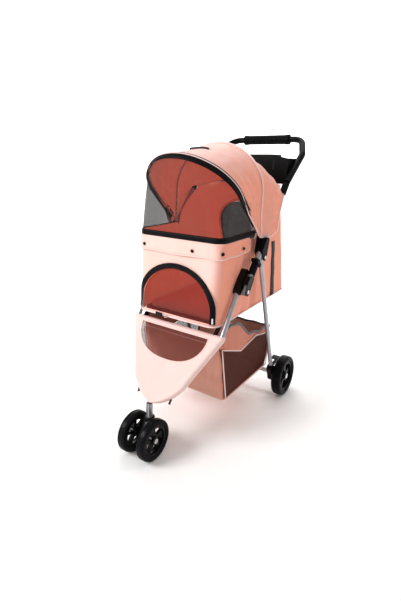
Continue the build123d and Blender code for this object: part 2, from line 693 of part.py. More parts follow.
with BuildPart() as cabin_fabric:
    add(cabin_slice(CABIN_FLOOR_Z, 900, 0).part)
    add(cabin_slice(CABIN_FLOOR_Z + 1.5, 901, -CABIN_WALL).part, mode=Mode.SUBTRACT)
    add(above_rim().part, mode=Mode.SUBTRACT)
    with BuildSketch(door_plane.offset(-20)):
        add(arch_sketch(DOOR_HALF, door_height, 40))
    extrude(amount=40, mode=Mode.SUBTRACT)
    with BuildSketch(window_plane.offset(-20)):
        add(arch_sketch(WINDOW_HALF, WINDOW_Z[1] - WINDOW_Z[0], 80))
    extrude(amount=40, mode=Mode.SUBTRACT)
    for sign in (-1, 1):
        add(rod_x(sign * 145, sign * 175, HOOP_PIVOT_YZ, 14.0).part, mode=Mode.SUBTRACT)
save(cabin_fabric, "cabin_fabric")

with BuildPart() as front_door:
    with BuildSketch(door_plane.offset(-2.0)):
        add(arch_sketch(DOOR_HALF - 0.5, door_height - 0.5, 40))
    extrude(amount=1.6)
save(front_door, "front_door_mesh")

with BuildPart() as front_door_zip:
    with BuildSketch(door_plane.offset(0.2)):
        add(arch_sketch(DOOR_HALF + DOOR_TAPE, door_height + DOOR_TAPE, 40))
        add(arch_sketch(DOOR_HALF + 0.5, door_height + 0.5, 40), mode=Mode.SUBTRACT)
    extrude(amount=1.4)

with BuildPart() as rear_window_mesh:
    with BuildSketch(window_plane.offset(-2.0)):
        add(arch_sketch(WINDOW_HALF - 0.5, WINDOW_Z[1] - WINDOW_Z[0] - 0.5, 80))
    extrude(amount=1.6)
save(rear_window_mesh, "rear_window_mesh")


def front_of_hoops():
    """Everything behind the hoop feet, where the rim band and the skirt stop."""
    with BuildPart() as cutter:
        with BuildSketch(Plane.XY.offset(300)):
            with Locations((0, HOOP_PIVOT_YZ[0] - 40)):
                Rectangle(600, 600, align=(Align.CENTER, Align.MIN))
        extrude(amount=500)
    return cutter


def wrap_band(z_from, z_to, inner, outer):
    """Band round the cabin's front and sides."""
    with BuildPart() as band:
        add(cabin_slice(z_from, z_to, outer).part)
        add(cabin_slice(z_from, z_to, inner).part, mode=Mode.SUBTRACT)
        add(front_of_hoops().part, mode=Mode.SUBTRACT)
    return band


SKIRT_Z = (600.0, 641.0)
with BuildPart() as cabin_zips:
    add(wrap_band(642.0, CABIN_RIM_Z, 0.2, 2.4).part)
    add(front_door_zip.part)
save(cabin_zips, "cabin_zips")
save(wrap_band(SKIRT_Z[0], SKIRT_Z[1], 0.3, 2.8), "skirt_flap")

SNAP_R = 5.5
snap_z = SKIRT_Z[0] + 12
snap_front_y = cabin_outline(snap_z, 3.3)[0]
snap_side_x = cabin_outline(snap_z, 3.3)[2]

with BuildPart() as skirt_snaps:
    with BuildSketch(Plane(origin=(0, snap_front_y, snap_z), x_dir=(1, 0, 0), z_dir=(0, -1, front_lean))):
        with Locations((-110, 0), (0, 0), (110, 0)):
            Circle(SNAP_R)
    extrude(amount=2.2)
    for sign in (-1, 1):
        add(rod_x(sign * snap_side_x, sign * (snap_side_x + 2.2), (-40, snap_z), SNAP_R).part)
save(skirt_snaps, "skirt_snaps")

FLOOR_ROD_R = 4.0
FLOOR_ROD_Z = CABIN_FLOOR_Z - FLOOR_ROD_R - 1.2
FLOOR_ROD_X = 136.0
HANGER_X = (137.0, 140.0)
floor_rod_y = (CROSSBAR_YZ[0], 292.0)

with BuildPart() as floor_frame:
    add(
        tube(
            [(FLOOR_ROD_X, floor_rod_y[0] + 20, FLOOR_ROD_Z), (FLOOR_ROD_X, floor_rod_y[1], FLOOR_ROD_Z),
             (-FLOOR_ROD_X, floor_rod_y[1], FLOOR_ROD_Z), (-FLOOR_ROD_X, floor_rod_y[0] + 20, FLOOR_ROD_Z)],
            FLOOR_ROD_R,
            None,
            30,
        ).part
    )
    for sign in (-1, 1):
        add(
            hull_plate(
                sign * HANGER_X[0],
                sign * HANGER_X[1],
                [(CROSSBAR_YZ, 9.8), ((CROSSBAR_YZ[0] + 45, FLOOR_ROD_Z), 4.0), ((CROSSBAR_YZ[0] + 25, FLOOR_ROD_Z), 4.0)],
            ).part
        )
    with BuildSketch(side_plane(-200)):
        with Locations(CROSSBAR_YZ):
            Circle(TUBE_R + RUN_GAP)
    extrude(amount=400, mode=Mode.SUBTRACT)
save(floor_frame, "floor_frame")

BOARD_Z = CABIN_FLOOR_Z + 1.7
with BuildPart() as floor_board:
    with BuildSketch(Plane.XY.offset(BOARD_Z)):
        with Locations((0, (CABIN_FLOOR[0] + CABIN_FLOOR[1]) / 2)):
            RectangleRounded(286, 490, 34)
    extrude(amount=4.0)
save(floor_board, "floor_board")

with BuildPart() as floor_cushion:
    with BuildSketch(Plane.XY.offset(BOARD_Z + 4.2)):
        with Locations((0, (CABIN_FLOOR[0] + CABIN_FLOOR[1]) / 2 - 2)):
            RectangleRounded(284, 480, 34)
    extrude(amount=22.0)
    fillet(floor_cushion.edges().group_by(Axis.Z)[-1], 8.0)
save(floor_cushion, "floor_cushion")

# Webbing straps sewn on the cabin's sides
STRAP_WIDTH = 24.0
STRAP_Z = (392.0, 600.0)
with BuildPart() as side_strap:
    for z in STRAP_Z:
        half = cabin_outline(z, 0.3)[2]
        with BuildSketch(Plane.XY.offset(z)):
            with Locations((half, 178)):
                Rectangle(1.8, STRAP_WIDTH, align=(Align.MIN, Align.CENTER))
    loft(ruled=True)
save(both_sides(side_strap), "side_straps")

# Basket --------------------------------------------------------------------------------
BASKET_PROFILE = [(-140, BASKET_FLOOR_Z), (160, BASKET_FLOOR_Z), (198, 268), (122, 276), (26, 300),
                  (-70, 358), (-128, 368), (-176, 340)]
BASKET_WINDOW = [(-134, 132), (154, 132), (176, 255), (122, 265), (60, 279), (-49, 264), (-158, 310)]


def basket_block(grow, half, lid):
    """Solid basket in side view; lid raises the top edge so that a cutter opens it."""
    with BuildPart() as block:
        with BuildSketch(side_plane(-half)):
            Polygon(*BASKET_PROFILE, align=None)
            if grow:
                offset(amount=grow)
        extrude(amount=2 * half)
        if lid:
            with BuildSketch(side_plane(-half)):
                Polygon((-170, 332), (-128, 300), (26, 240), (190, 240), (194, 420), (-170, 420), align=None)
            extrude(amount=2 * half)
    return block


with BuildPart() as basket_fabric:
    add(basket_block(0, BASKET_X, False).part)
    add(basket_block(-BASKET_WALL, BASKET_X - BASKET_WALL, True).part, mode=Mode.SUBTRACT)
    with BuildSketch(side_plane(-BASKET_X - 10)):
        Polygon(*BASKET_WINDOW, align=None)
    extrude(amount=2 * BASKET_X + 20, mode=Mode.SUBTRACT)
save(basket_fabric, "basket_fabric")

with BuildPart() as basket_mesh:
    with BuildSketch(side_plane(BASKET_X - 1.8)):
        Polygon(*BASKET_WINDOW, align=None)
        offset(amount=-0.3)
    extrude(amount=1.2)
save(both_sides(basket_mesh), "basket_mesh")


# Canopy --------------------------------------------------------------------------------
def hoop_plane(tilt, ahead=0.0):
    """Plane through the hoop pivots; local X is across, local Y climbs, tilt is from straight ahead."""
    lean = radians(tilt)
    return Plane(origin=(0, *HOOP_PIVOT_YZ), x_dir=(1, 0, 0), z_dir=(0, -sin(lean), -cos(lean))).offset(ahead)


def hoop_arch(hoop, grow, base):
    """Closed arch that a hoop spans, grown outwards and cut off at a base height."""
    _, half, height, spring = hoop
    with BuildSketch() as outline:
        with BuildLine():
            Line((-half - grow, base), (half + grow, base))
            Line((half + grow, base), (half + grow, spring))
            EllipticalCenterArc((0, spring), half + grow, height - spring + grow, start_angle=0, arc_size=180)
            Line((-half - grow, spring), (-half - grow, base))
        make_face()
    return outline.sketch


def hoop_wire(hoop):
    """Bent steel wire of one hoop, standing on its two foot eyes."""
    tilt, half, height, spring = hoop
    with BuildPart() as wire:
        with BuildLine(hoop_plane(tilt)) as route:
            Line((half, 8), (half, spring))
            EllipticalCenterArc((0, spring), half, height - spring, start_angle=0, arc_size=180)
            Line((-half, spring), (-half, 8))
        with BuildSketch(Plane(origin=route.line @ 0, z_dir=route.line % 0)):
            Circle(HOOP_WIRE_R)
        sweep()
        for sign in (-1, 1):
            add(rod_x(sign * (half - 2.2), sign * (half + 2.2), HOOP_PIVOT_YZ, 8.5).part)
        with BuildSketch(side_plane(-250)):
            with Locations(HOOP_PIVOT_YZ):
                Circle(HOOP_PIN_R + RUN_GAP)
        extrude(amount=500, mode=Mode.SUBTRACT)
    return wire


save(hoop_wire(FRONT_HOOP), "front_hoop")
save(hoop_wire(MID_HOOP), "mid_hoop")

BAND_HALF_WIDTH = 6.5
BAND_GAP = HOOP_WIRE_R + 0.4
with BuildPart() as hoop_zip_band:
    with BuildSketch(hoop_plane(FRONT_HOOP[0], -BAND_HALF_WIDTH)):
        add(hoop_arch(FRONT_HOOP, BAND_GAP + 2.0, 34))
        add(hoop_arch(FRONT_HOOP, BAND_GAP, 30), mode=Mode.SUBTRACT)
    extrude(amount=2 * BAND_HALF_WIDTH)
save(hoop_zip_band, "hoop_zip_band")


def canopy_block(first, second, grow, base):
    """Solid between two (arch, distance ahead) stations."""
    with BuildPart() as block:
        for arch, ahead in (first, second):
            with BuildSketch(hoop_plane(arch[0], ahead)):
                add(hoop_arch(arch, grow, base))
        loft(ruled=True)
    return block


def canopy_section(stations, base):
    """Fabric shell through a row of stations, open at both ends and underneath."""
    inner = HOOP_WIRE_R + 1.5
    spans = []
    for first, second in zip(stations, stations[1:]):
        with BuildPart() as span:
            add(canopy_block(first, second, inner + CANOPY_SKIN, base).part)
            add(canopy_block(first, second, inner, base - 8).part, mode=Mode.SUBTRACT)
        spans.append(span.part)
    with BuildPart() as section:
        for span in spans:
            add(span)
    return section


save(
    canopy_section([(FRONT_HOOP, -BAND_HALF_WIDTH - 0.5), (MID_HOOP, CANOPY_GAP)], CANOPY_BASE),
    "canopy_front_fabric",
)

with BuildPart() as canopy_rear:
    add(canopy_section([(MID_HOOP, -CANOPY_GAP), (FLARE, 0.0), (REAR_EDGE, CANOPY_GAP)], FLARE_BASE).part)
    for sign in (-1, 1):
        add(tube([(sign * HANDLE_X, *handle_point(160)), (sign * HANDLE_X, *handle_point(368))],
                 TUBE_R + 0.4, None).part, mode=Mode.SUBTRACT)
        add(tube([(sign * HANDLE_X, *handle_point(366)), (sign * HANDLE_X, *handle_point(440))],
                 12.6, None).part, mode=Mode.SUBTRACT)
save(canopy_rear, "canopy_rear_fabric")


def dome_block(shrink):
    """Wedge between the front hoop and the cabin's rim, rounded like the rim's corners."""
    top_y, top_z = along(HOOP_PIVOT_YZ, 180 - FRONT_HOOP[0], FRONT_HOOP[2] - 2 * shrink)
    front_y = cabin_outline(CABIN_RIM_Z, 0)[0] + shrink
    with BuildPart() as wedge:
        with BuildSketch(side_plane(-170)):
            Polygon((HOOP_PIVOT_YZ[0], CABIN_RIM_Z + 0.5 - shrink), (front_y, CABIN_RIM_Z + 0.5 - shrink),
                    (top_y + 1.5 * shrink, top_z + 4), align=None)
        extrude(amount=340)
        with BuildSketch(hoop_plane(FRONT_HOOP[0], -2)):
            add(hoop_arch(FRONT_HOOP, 1.0 - shrink, 0))
        extrude(amount=260, mode=Mode.INTERSECT)
        with BuildSketch(Plane.XY.offset(600)):
            half = cabin_outline(CABIN_RIM_Z, 0)[2] - shrink
            with Locations((0, front_y)):
                RectangleRounded(2 * half, 600, CABIN_CORNER, align=(Align.CENTER, Align.MIN))
        extrude(amount=400, mode=Mode.INTERSECT)
    return wedge


with BuildPart() as dome_mesh:
    add(dome_block(0).part)
    add(dome_block(1.6).part, mode=Mode.SUBTRACT)
    with BuildSketch(hoop_plane(FRONT_HOOP[0], BAND_HALF_WIDTH + 0.5)):
        Rectangle(600, 900)
    extrude(amount=-80, mode=Mode.SUBTRACT)
    for sign in (-1, 1):
        add(rod_x(sign * 120, sign * 200, HOOP_PIVOT_YZ, 30.0).part, mode=Mode.SUBTRACT)
save(dome_mesh, "dome_mesh")
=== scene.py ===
import json
import math

import bmesh
import bpy
from mathutils import Matrix, Vector, noise


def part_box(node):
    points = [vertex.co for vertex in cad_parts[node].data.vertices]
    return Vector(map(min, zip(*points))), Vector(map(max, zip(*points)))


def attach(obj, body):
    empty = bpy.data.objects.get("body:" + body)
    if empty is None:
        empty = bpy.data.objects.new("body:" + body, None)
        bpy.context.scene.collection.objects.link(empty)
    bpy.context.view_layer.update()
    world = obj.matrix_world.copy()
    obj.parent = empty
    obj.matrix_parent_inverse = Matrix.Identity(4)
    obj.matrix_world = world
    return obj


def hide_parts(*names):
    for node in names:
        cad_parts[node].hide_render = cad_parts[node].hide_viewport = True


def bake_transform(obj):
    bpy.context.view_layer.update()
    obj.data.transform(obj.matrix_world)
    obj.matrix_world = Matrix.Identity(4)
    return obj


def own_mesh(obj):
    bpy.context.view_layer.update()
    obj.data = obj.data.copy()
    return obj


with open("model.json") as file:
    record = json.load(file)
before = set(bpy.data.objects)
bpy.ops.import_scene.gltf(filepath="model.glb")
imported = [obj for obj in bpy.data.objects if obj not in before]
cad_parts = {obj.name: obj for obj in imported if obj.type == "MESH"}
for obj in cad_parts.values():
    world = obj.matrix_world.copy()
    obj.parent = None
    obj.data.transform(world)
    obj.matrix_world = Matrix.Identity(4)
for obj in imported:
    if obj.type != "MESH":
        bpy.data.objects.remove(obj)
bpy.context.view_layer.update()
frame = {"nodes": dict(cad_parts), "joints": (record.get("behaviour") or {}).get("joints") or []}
nodes = frame["nodes"]
joints = {joint["name"]: joint for joint in frame["joints"]}

# Named sizes, in metres and degrees ------------------------------------------------------
HUB = Vector(joints["canopy_fold"]["pos_m"])
CROSSBAR = Vector(joints["front_leg_swing"]["pos_m"])
FRONT_HOOP = {"tilt": 45.0, "half": 0.1585, "height": 0.322, "spring": 0.170}
MID_HOOP = {"tilt": 93.0, "half": 0.1655, "height": 0.270, "spring": 0.120}
FLARE = {"tilt": 118.0, "half": 0.1885, "height": 0.244, "spring": 0.132}
REAR_EDGE = {"tilt": 139.6, "half": 0.1885, "height": 0.232, "spring": 0.150}
FRONT_FOOT = HUB + Vector((0.1745, -0.0205, -0.0040))
MID_FOOT = HUB + Vector((0.1745, -0.0020, -0.0180))
FLARE_FOOT = HUB + Vector((0.1975, 0.0300, -0.0170))
REAR_FOOT = HUB + Vector((0.1980, 0.0670, -0.0060))
LEG_SHARE = 0.30
CLOTH = 0.0014
CABIN_FLOOR_Z = 0.3895
CABIN_RIM_Z = 0.655
CABIN_BACK_TOP_Z = 0.795
CABIN_FLOOR = (-0.2015, 0.310, 0.1490)
CABIN_RIM = (-0.1835, 0.242, 0.1570)
CABIN_CORNER = 0.030
SKIRT_Z = (0.5955, 0.6405)
SKIRT_END_Y = -0.026
BASKET_FLOOR_Z = 0.122
BASKET_HALF = 0.153
PANEL_SLOPE = math.radians(57.8)
TAPE = 0.0012
SIDES = {1: "left", -1: "right"}


# Materials -------------------------------------------------------------------------------
class Shader:
    """A material's node tree, with short calls to add and join nodes."""

    def __init__(self, name, color, roughness, metallic=0.0):
        self.material = bpy.data.materials.new(name)
        self.material.use_nodes = True
        self.tree = self.material.node_tree
        self.bsdf = self.tree.nodes["Principled BSDF"]
        self.bsdf.inputs["Base Color"].default_value = (*color, 1)
        self.bsdf.inputs["Roughness"].default_value = roughness
        self.bsdf.inputs["Metallic"].default_value = metallic
        self.coord = self.tree.nodes.new("ShaderNodeTexCoord")

    def add(self, kind, **values):
        """New node; values name its sockets or its own settings."""
        made = self.tree.nodes.new(kind)
        for key, value in values.items():
            if hasattr(made, key):
                setattr(made, key, value)
            else:
                made.inputs[key.replace("_", " ").title()].default_value = value
        return made

    def join(self, source, target):
        self.tree.links.new(source, target)

    def noise(self, scale, detail=2.0, space="Object"):
        made = self.add("ShaderNodeTexNoise", scale=scale, detail=detail)
        self.join(self.coord.outputs[space], made.inputs["Vector"])
        return made.outputs["Fac"]

    def ramp(self, factor, low, high):
        """Factor mapped from 0..1 to low..high."""
        made = self.add("ShaderNodeMapRange")
        made.inputs["To Min"].default_value = low
        made.inputs["To Max"].default_value = high
        self.join(factor, made.inputs["Value"])
        return made.outputs["Result"]

    def math(self, operation, first, second):
        made = self.add("ShaderNodeMath", operation=operation)
        for slot, value in enumerate((first, second)):
            if isinstance(value, (int, float)):
                made.inputs[slot].default_value = value
            else:
                self.join(value, made.inputs[slot])
        return made.outputs["Value"]

    def mix(self, factor, first, second):
        """Two colours mixed by a factor."""
        made = self.add("ShaderNodeMix", data_type="RGBA")
        self.join(factor, made.inputs["Factor"])
        for socket, color in ((made.inputs[6], first), (made.inputs[7], second)):
            socket.default_value = (*color, 1)
        return made.outputs[2]

    def bands(self, direction, pitch, space):
        """Smooth stripes across one direction, one pitch wide."""
        made = self.add("ShaderNodeTexWave", wave_type="BANDS", bands_direction=direction)
        made.inputs["Scale"].default_value = 0.314 / pitch
        self.join(self.coord.outputs[space], made.inputs["Vector"])
        return made.outputs["Fac"]

    def bump(self, height, strength, distance):
        made = self.add("ShaderNodeBump")
        made.inputs["Strength"].default_value = strength
        made.inputs["Distance"].default_value = distance
        self.join(height, made.inputs["Height"])
        self.join(made.outputs["Normal"], self.bsdf.inputs["Normal"])


def woven(name, light, dark, pitch=0.0011, roughness=0.7, sheen=0.3, painted_side_shade=0.0, glow=0.0):
    """Woven cloth: crossing threads, faint patches of wear, a soft sheen, and a painted shade that makes the
    sides facing along X deeper and redder.

    The glow stands for light that comes through the thin cloth from outside.
    """
    cloth = Shader(name, light, roughness)
    warp = cloth.bands("X", pitch, "UV")
    weft = cloth.bands("Y", pitch, "UV")
    weave = cloth.math("MULTIPLY", warp, weft)
    patches = cloth.noise(9.0, 3.0)
    shade = cloth.math("MULTIPLY", cloth.ramp(weave, 0.75, 1.0), cloth.ramp(patches, 0.55, 1.1))
    # Painted shade: where the cloth's normal turns towards +X or -X, its colour is pulled towards the dark
    # colour, standing in for the shade on the sides.
    if painted_side_shade:
        facing = cloth.add("ShaderNodeSeparateXYZ")
        cloth.join(cloth.coord.outputs["Normal"], facing.inputs["Vector"])
        side_shade_mask = cloth.math("POWER", cloth.math("ABSOLUTE", facing.outputs["X"], 0.0), 2.0)
        shade = cloth.math("MULTIPLY", shade, cloth.ramp(side_shade_mask, 1.0, 1.0 - painted_side_shade))
    cloth.join(cloth.mix(shade, dark, light), cloth.bsdf.inputs["Base Color"])
    cloth.join(cloth.ramp(patches, roughness - 0.08, roughness + 0.1), cloth.bsdf.inputs["Roughness"])
    # Painted light: the cloth gives off light in its own light colour, standing for light that comes through
    # it from outside.
    cloth.bsdf.inputs["Emission Color"].default_value = (*light, 1)
    cloth.bsdf.inputs["Emission Strength"].default_value = glow
    creases = cloth.math("MULTIPLY", cloth.noise(28.0, 3.0), 3.0)
    cloth.bump(cloth.math("ADD", weave, creases), 0.35, 0.0006)
    cloth.bsdf.inputs["Sheen Weight"].default_value = sheen
    cloth.bsdf.inputs["Sheen Roughness"].default_value = 0.4
    return cloth.material


def netting(name, color, pitch, cover):
    """Knitted net: dark threads with open holes between them."""
    net = Shader(name, color, 0.55)
    along = net.bands("X", pitch, "UV")
    across = net.bands("Y", pitch, "UV")
    thread = net.math("MAXIMUM", net.math("POWER", along, 3.0), net.math("POWER", across, 3.0))
    net.join(net.ramp(thread, cover - 0.2, cover + 0.42), net.bsdf.inputs["Alpha"])
    shade = net.noise(14.0)
    lighter = tuple(min(1.0, part * 1.7 + 0.004) for part in color)
    net.join(net.mix(shade, color, lighter), net.bsdf.inputs["Base Color"])
    net.bump(thread, 0.5, 0.0004)
    net.bsdf.inputs["Specular IOR Level"].default_value = 0.08
    return net.material


def moulded(name, color, roughness, coat=0.0, grain=900.0, wear=0.05):
    """Moulded plastic or rubber: fine grain, faint scuffs on a plain colour."""
    plastic = Shader(name, color, roughness)
    scuffs = plastic.noise(22.0, 6.0)
    worn = tuple(part + wear for part in color)
    marks = plastic.math("POWER", scuffs, 3.0)
    plastic.join(plastic.mix(marks, color, worn), plastic.bsdf.inputs["Base Color"])
    plastic.join(plastic.ramp(scuffs, roughness - 0.06, roughness + 0.12), plastic.bsdf.inputs["Roughness"])
    plastic.bump(plastic.noise(grain), 0.12, 0.0002)
    plastic.bsdf.inputs["Specular IOR Level"].default_value = 0.05
    plastic.bsdf.inputs["Coat Weight"].default_value = coat
    plastic.bsdf.inputs["Coat Roughness"].default_value = 0.12
    return plastic.material


def metal(name, color, roughness, metallic=0.85):
    """Painted or bare metal with fine streaks and small dull spots."""
    tube = Shader(name, color, roughness, metallic)
    spots = tube.noise(60.0, 5.0)
    darker = tuple(part * 0.72 for part in color)
    tube.join(tube.mix(tube.math("POWER", spots, 2.0), color, darker), tube.bsdf.inputs["Base Color"])
    tube.join(tube.ramp(spots, roughness - 0.08, roughness + 0.14), tube.bsdf.inputs["Roughness"])
    tube.bump(tube.noise(700.0), 0.08, 0.0002)
    return tube.material


def zip_tape(name, color):
    """Coated zip tape: fine ribs across the coil."""
    tape = Shader(name, color, 0.36)
    ribs = tape.bands("X", 0.0024, "UV")
    lighter = tuple(part * 2 + 0.003 for part in color)
    tape.join(tape.mix(ribs, color, lighter), tape.bsdf.inputs["Base Color"])
    tape.bump(ribs, 0.4, 0.0005)
    tape.bsdf.inputs["Specular IOR Level"].default_value = 0.05
    return tape.material


PINK = (0.90, 0.685, 0.645)
# The deep pink is the cloth's darker tone between threads and in patches, and mostly the painted shade on its
# sides.
PINK_TONE_AND_SIDE_SHADE = (0.93, 0.315, 0.195)
BLACK = (0.003, 0.003, 0.004)
looks = {
    "pink": woven("pink_cloth", PINK, PINK_TONE_AND_SIDE_SHADE, sheen=0.2, painted_side_shade=0.92),
    "panel": woven("panel_cloth", (0.85, 0.64, 0.60), (0.78, 0.50, 0.45), sheen=0.2),
    "lining": woven("lining_cloth", (0.86, 0.27, 0.18), (0.72, 0.16, 0.10), sheen=0.1, glow=0.60),
    # The basket cloth's dark colour is mostly painted shade on its sides.
    "orange": woven("basket_cloth", (0.80, 0.43, 0.33), (0.58, 0.15, 0.08), painted_side_shade=0.85),
    "cushion": woven("cushion_cloth", (0.88, 0.36, 0.30), (0.76, 0.25, 0.20), pitch=0.0022, glow=0.08),
    "piping": woven("piping_cloth", (0.94, 0.70, 0.66), (0.88, 0.56, 0.52), pitch=0.0016),
    "elastic": woven("grey_elastic", (0.15, 0.145, 0.15), (0.08, 0.078, 0.08), pitch=0.0020),
    "webbing": woven("black_webbing", (0.006, 0.006, 0.007), BLACK, pitch=0.0022, sheen=0.05),
    "zip": zip_tape("zip_tape", BLACK),
    "dome_net": netting("black_net", (0.010, 0.009, 0.009), 0.0020, 0.58),
    "window_net": netting("window_net", (0.006, 0.005, 0.005), 0.0018, 1.0),
    "door_net": netting("door_net", (0.085, 0.010, 0.007), 0.0018, 0.66),
    "brown_net": netting("basket_net", (0.050, 0.009, 0.004), 0.0018, 0.80),
    "tyre": moulded("tyre_rubber", (0.0035, 0.0035, 0.0045), 0.40, coat=0.05, grain=500.0, wear=0.004),
    "gloss": moulded("gloss_black", (0.0035, 0.0035, 0.004), 0.22, coat=0.15, wear=0.004),
    "satin": moulded("satin_black", (0.0028, 0.0028, 0.0032), 0.40, coat=0.02, wear=0.003),
    "grip": moulded("grip_rubber", (0.004, 0.004, 0.0045), 0.6, grain=420.0, wear=0.004),
    "board": moulded("floor_board", (0.06, 0.06, 0.062), 0.7),
    "tube": metal("tube_paint", (0.42, 0.43, 0.46), 0.30, 0.75),
    "steel": metal("bright_steel", (0.62, 0.62, 0.64), 0.24, 1.0),
    "thread": woven("light_thread", (0.95, 0.70, 0.65), (0.90, 0.60, 0.55), pitch=0.0006),
    "tab": moulded("white_tab", (0.80, 0.79, 0.77), 0.45, wear=-0.1),
}

NODE_LOOKS = {
    "tyre": ["rear_tyre_left", "rear_tyre_right", "front_tyre_left", "front_tyre_right"],
    "gloss": ["rear_hub_left", "rear_hub_right", "front_hub_left", "front_hub_right", "caster_bracket",
              "wheel_bracket_left", "wheel_bracket_right", "hinge_housing_left", "hinge_housing_right"],
    "satin": ["console_tray", "floor_frame", "handle_loop", "handle_sockets", "lock_slider_left",
              "lock_slider_right", "upper_bracket_left", "upper_bracket_right", "brake_pedal_left",
              "brake_pedal_right"],
    "grip": ["handle_grip"],
    "board": ["floor_board"],
    "tube": ["front_leg_left", "front_leg_right", "front_crossbar", "steering_head", "handle_tube_left",
             "handle_tube_right", "rear_leg_left", "rear_leg_right", "rear_cross_tube"],
    "steel": ["caster_stem", "front_axle", "rear_axle", "fold_pins", "bracket_pins", "brake_pins",
              "lock_spring_left", "lock_spring_right", "front_hoop", "mid_hoop"],
}
for look, names in NODE_LOOKS.items():
    for name in names:
        nodes[name].data.materials.clear()
        nodes[name].data.materials.append(looks[look])


# Mesh helpers ----------------------------------------------------------------------------
def add_object(name, mesh, material):
    """Object for a finished mesh, smooth shaded, with one material."""
    made = bpy.data.objects.new(name, mesh)
    bpy.context.scene.collection.objects.link(made)
    mesh.materials.clear()
    mesh.materials.append(material)
    for face in mesh.polygons:
        face.use_smooth = True
    return made


def from_shape(name, shaped, material):
    """Object for a finished bmesh, which is freed."""
    mesh = bpy.data.meshes.new(name)
    shaped.to_mesh(mesh)
    shaped.free()
    return add_object(name, mesh, material)


def applied(piece):
    """The piece with its modifiers worked into its mesh."""
    bpy.context.view_layer.update()
    graph = bpy.context.evaluated_depsgraph_get()
    mesh = bpy.data.meshes.new_from_object(piece.evaluated_get(graph))
    piece.modifiers.clear()
    piece.data = mesh
    return piece


def sheet(name, point, rows, columns, material, size=(1.0, 1.0), thick=CLOTH, loop=False, inner=None,
          hole=None):
    """Cloth through point(u, v), u and v from 0 to 1; size is its width and height for the weave.

    Faces whose middle passes the hole test are left out. An inner material lines the inside.
    """
    mesh = bpy.data.meshes.new(name)
    corners = [point(r / rows, c / columns) for r in range(rows + (not loop)) for c in range(columns + 1)]
    wide = columns + 1
    count = len(corners)
    faces = []
    cells = []
    for r in range(rows):
        for c in range(columns):
            low = r * wide + c
            high = (low + wide) % count
            if not (hole and hole((r + 0.5) / rows, (c + 0.5) / columns)):
                faces.append((low, high, high + 1, low + 1))
                cells.append((r, c))
    mesh.from_pydata(corners, [], faces)
    chart = mesh.uv_layers.new(name="UVMap").data
    for index, (r, c) in enumerate(cells):
        for corner, (dr, dc) in enumerate(((0, 0), (1, 0), (1, 1), (0, 1))):
            chart[index * 4 + corner].uv = ((r + dr) / rows * size[0], (c + dc) / columns * size[1])
    made = add_object(name, mesh, material)
    if thick:
        solid = made.modifiers.new("thickness", "SOLIDIFY")
        solid.thickness = thick
        solid.offset = 0
        if inner:
            mesh.materials.clear()
            mesh.materials.append(inner)
            mesh.materials.append(material)
            solid.material_offset = 1
            solid.material_offset_rim = 1
        applied(made)
    return made


def rope(name, points, radius, material, loop=False):
    """Round piping, wire or coil through a list of points."""
    curve = bpy.data.curves.new(name, "CURVE")
    curve.dimensions = "3D"
    curve.bevel_depth = radius
    curve.bevel_resolution = 3
    curve.use_fill_caps = True
    spline = curve.splines.new("POLY")
    spline.points.add(len(points) - 1)
    for slot, place in zip(spline.points, points):
        slot.co = (*place, 1)
    spline.use_cyclic_u = loop
    curved = bpy.data.objects.new(name, curve)
    bpy.context.scene.collection.objects.link(curved)
    bpy.context.view_layer.update()
    graph = bpy.context.evaluated_depsgraph_get()
    mesh = bpy.data.meshes.new_from_object(curved.evaluated_get(graph))
    bpy.data.objects.remove(curved)
    return add_object(name, mesh, material)


def tape(name, places, width, material, thick=TAPE, crown=0.0006, loop=False):
    """Flat tape along a list of (place, outward, across); width runs along across."""
    count = len(places)
    length = sum((places[i + 1][0] - places[i][0]).length for i in range(count - 1))

    def point(u, v):
        place, outward, across = places[min(count - 1, round(u * (count - 1)))] if not loop else places[
            round(u * count) % count]
        lift = thick / 2 + crown * (1 - (2 * v - 1) ** 2)
        return place + outward * lift + across * width * (v - 0.5)

    rows = count if loop else count - 1
    return sheet(name, point, rows, 4, material, (length, width), thick, loop)


def cut(piece, cutter):
    """Takes the cutter's volume out of the piece."""
    hole = piece.modifiers.new("cut", "BOOLEAN")
    hole.operation = "DIFFERENCE"
    hole.object = cutter
    hole.solver = "EXACT"
    applied(piece)
    bpy.data.objects.remove(cutter)


def prism(outline, depth):
    """Solid through a closed outline of points, pushed both ways along a depth vector."""
    mesh = bpy.data.meshes.new("cutter")
    count = len(outline)
    corners = [place - depth for place in outline] + [place + depth for place in outline]
    faces = [tuple(range(count))[::-1], tuple(range(count, 2 * count))]
    faces += [(i, (i + 1) % count, (i + 1) % count + count, i + count) for i in range(count)]
    mesh.from_pydata(corners, [], faces)
    made = bpy.data.objects.new("cutter", mesh)
    bpy.context.scene.collection.objects.link(made)
    shaped = bmesh.new()
    shaped.from_mesh(mesh)
    bmesh.ops.recalc_face_normals(shaped, faces=shaped.faces)
    shaped.to_mesh(mesh)
    shaped.free()
    return made


def stitches(name, lines, material, pitch=0.0046, long=0.0030, radius=0.00045):
    """Rows of sewn stitches: short threads along each line of points."""
    shaped = bmesh.new()
    for line in lines:
        walked = 0.0
        for first, second in zip(line, line[1:]):
            step = second - first
            if step.length < 1e-6:
                continue
            while walked < step.length:
                middle = first + step * (walked / step.length)
                turn = step.to_track_quat("Z", "Y").to_matrix().to_4x4()
                scale = Matrix.Diagonal((radius, radius, long / 2, 1))
                bmesh.ops.create_icosphere(
                    shaped, subdivisions=1, radius=1, matrix=Matrix.Translation(middle) @ turn @ scale
                )
                walked += pitch
            walked -= step.length
    return from_shape(name, shaped, material)


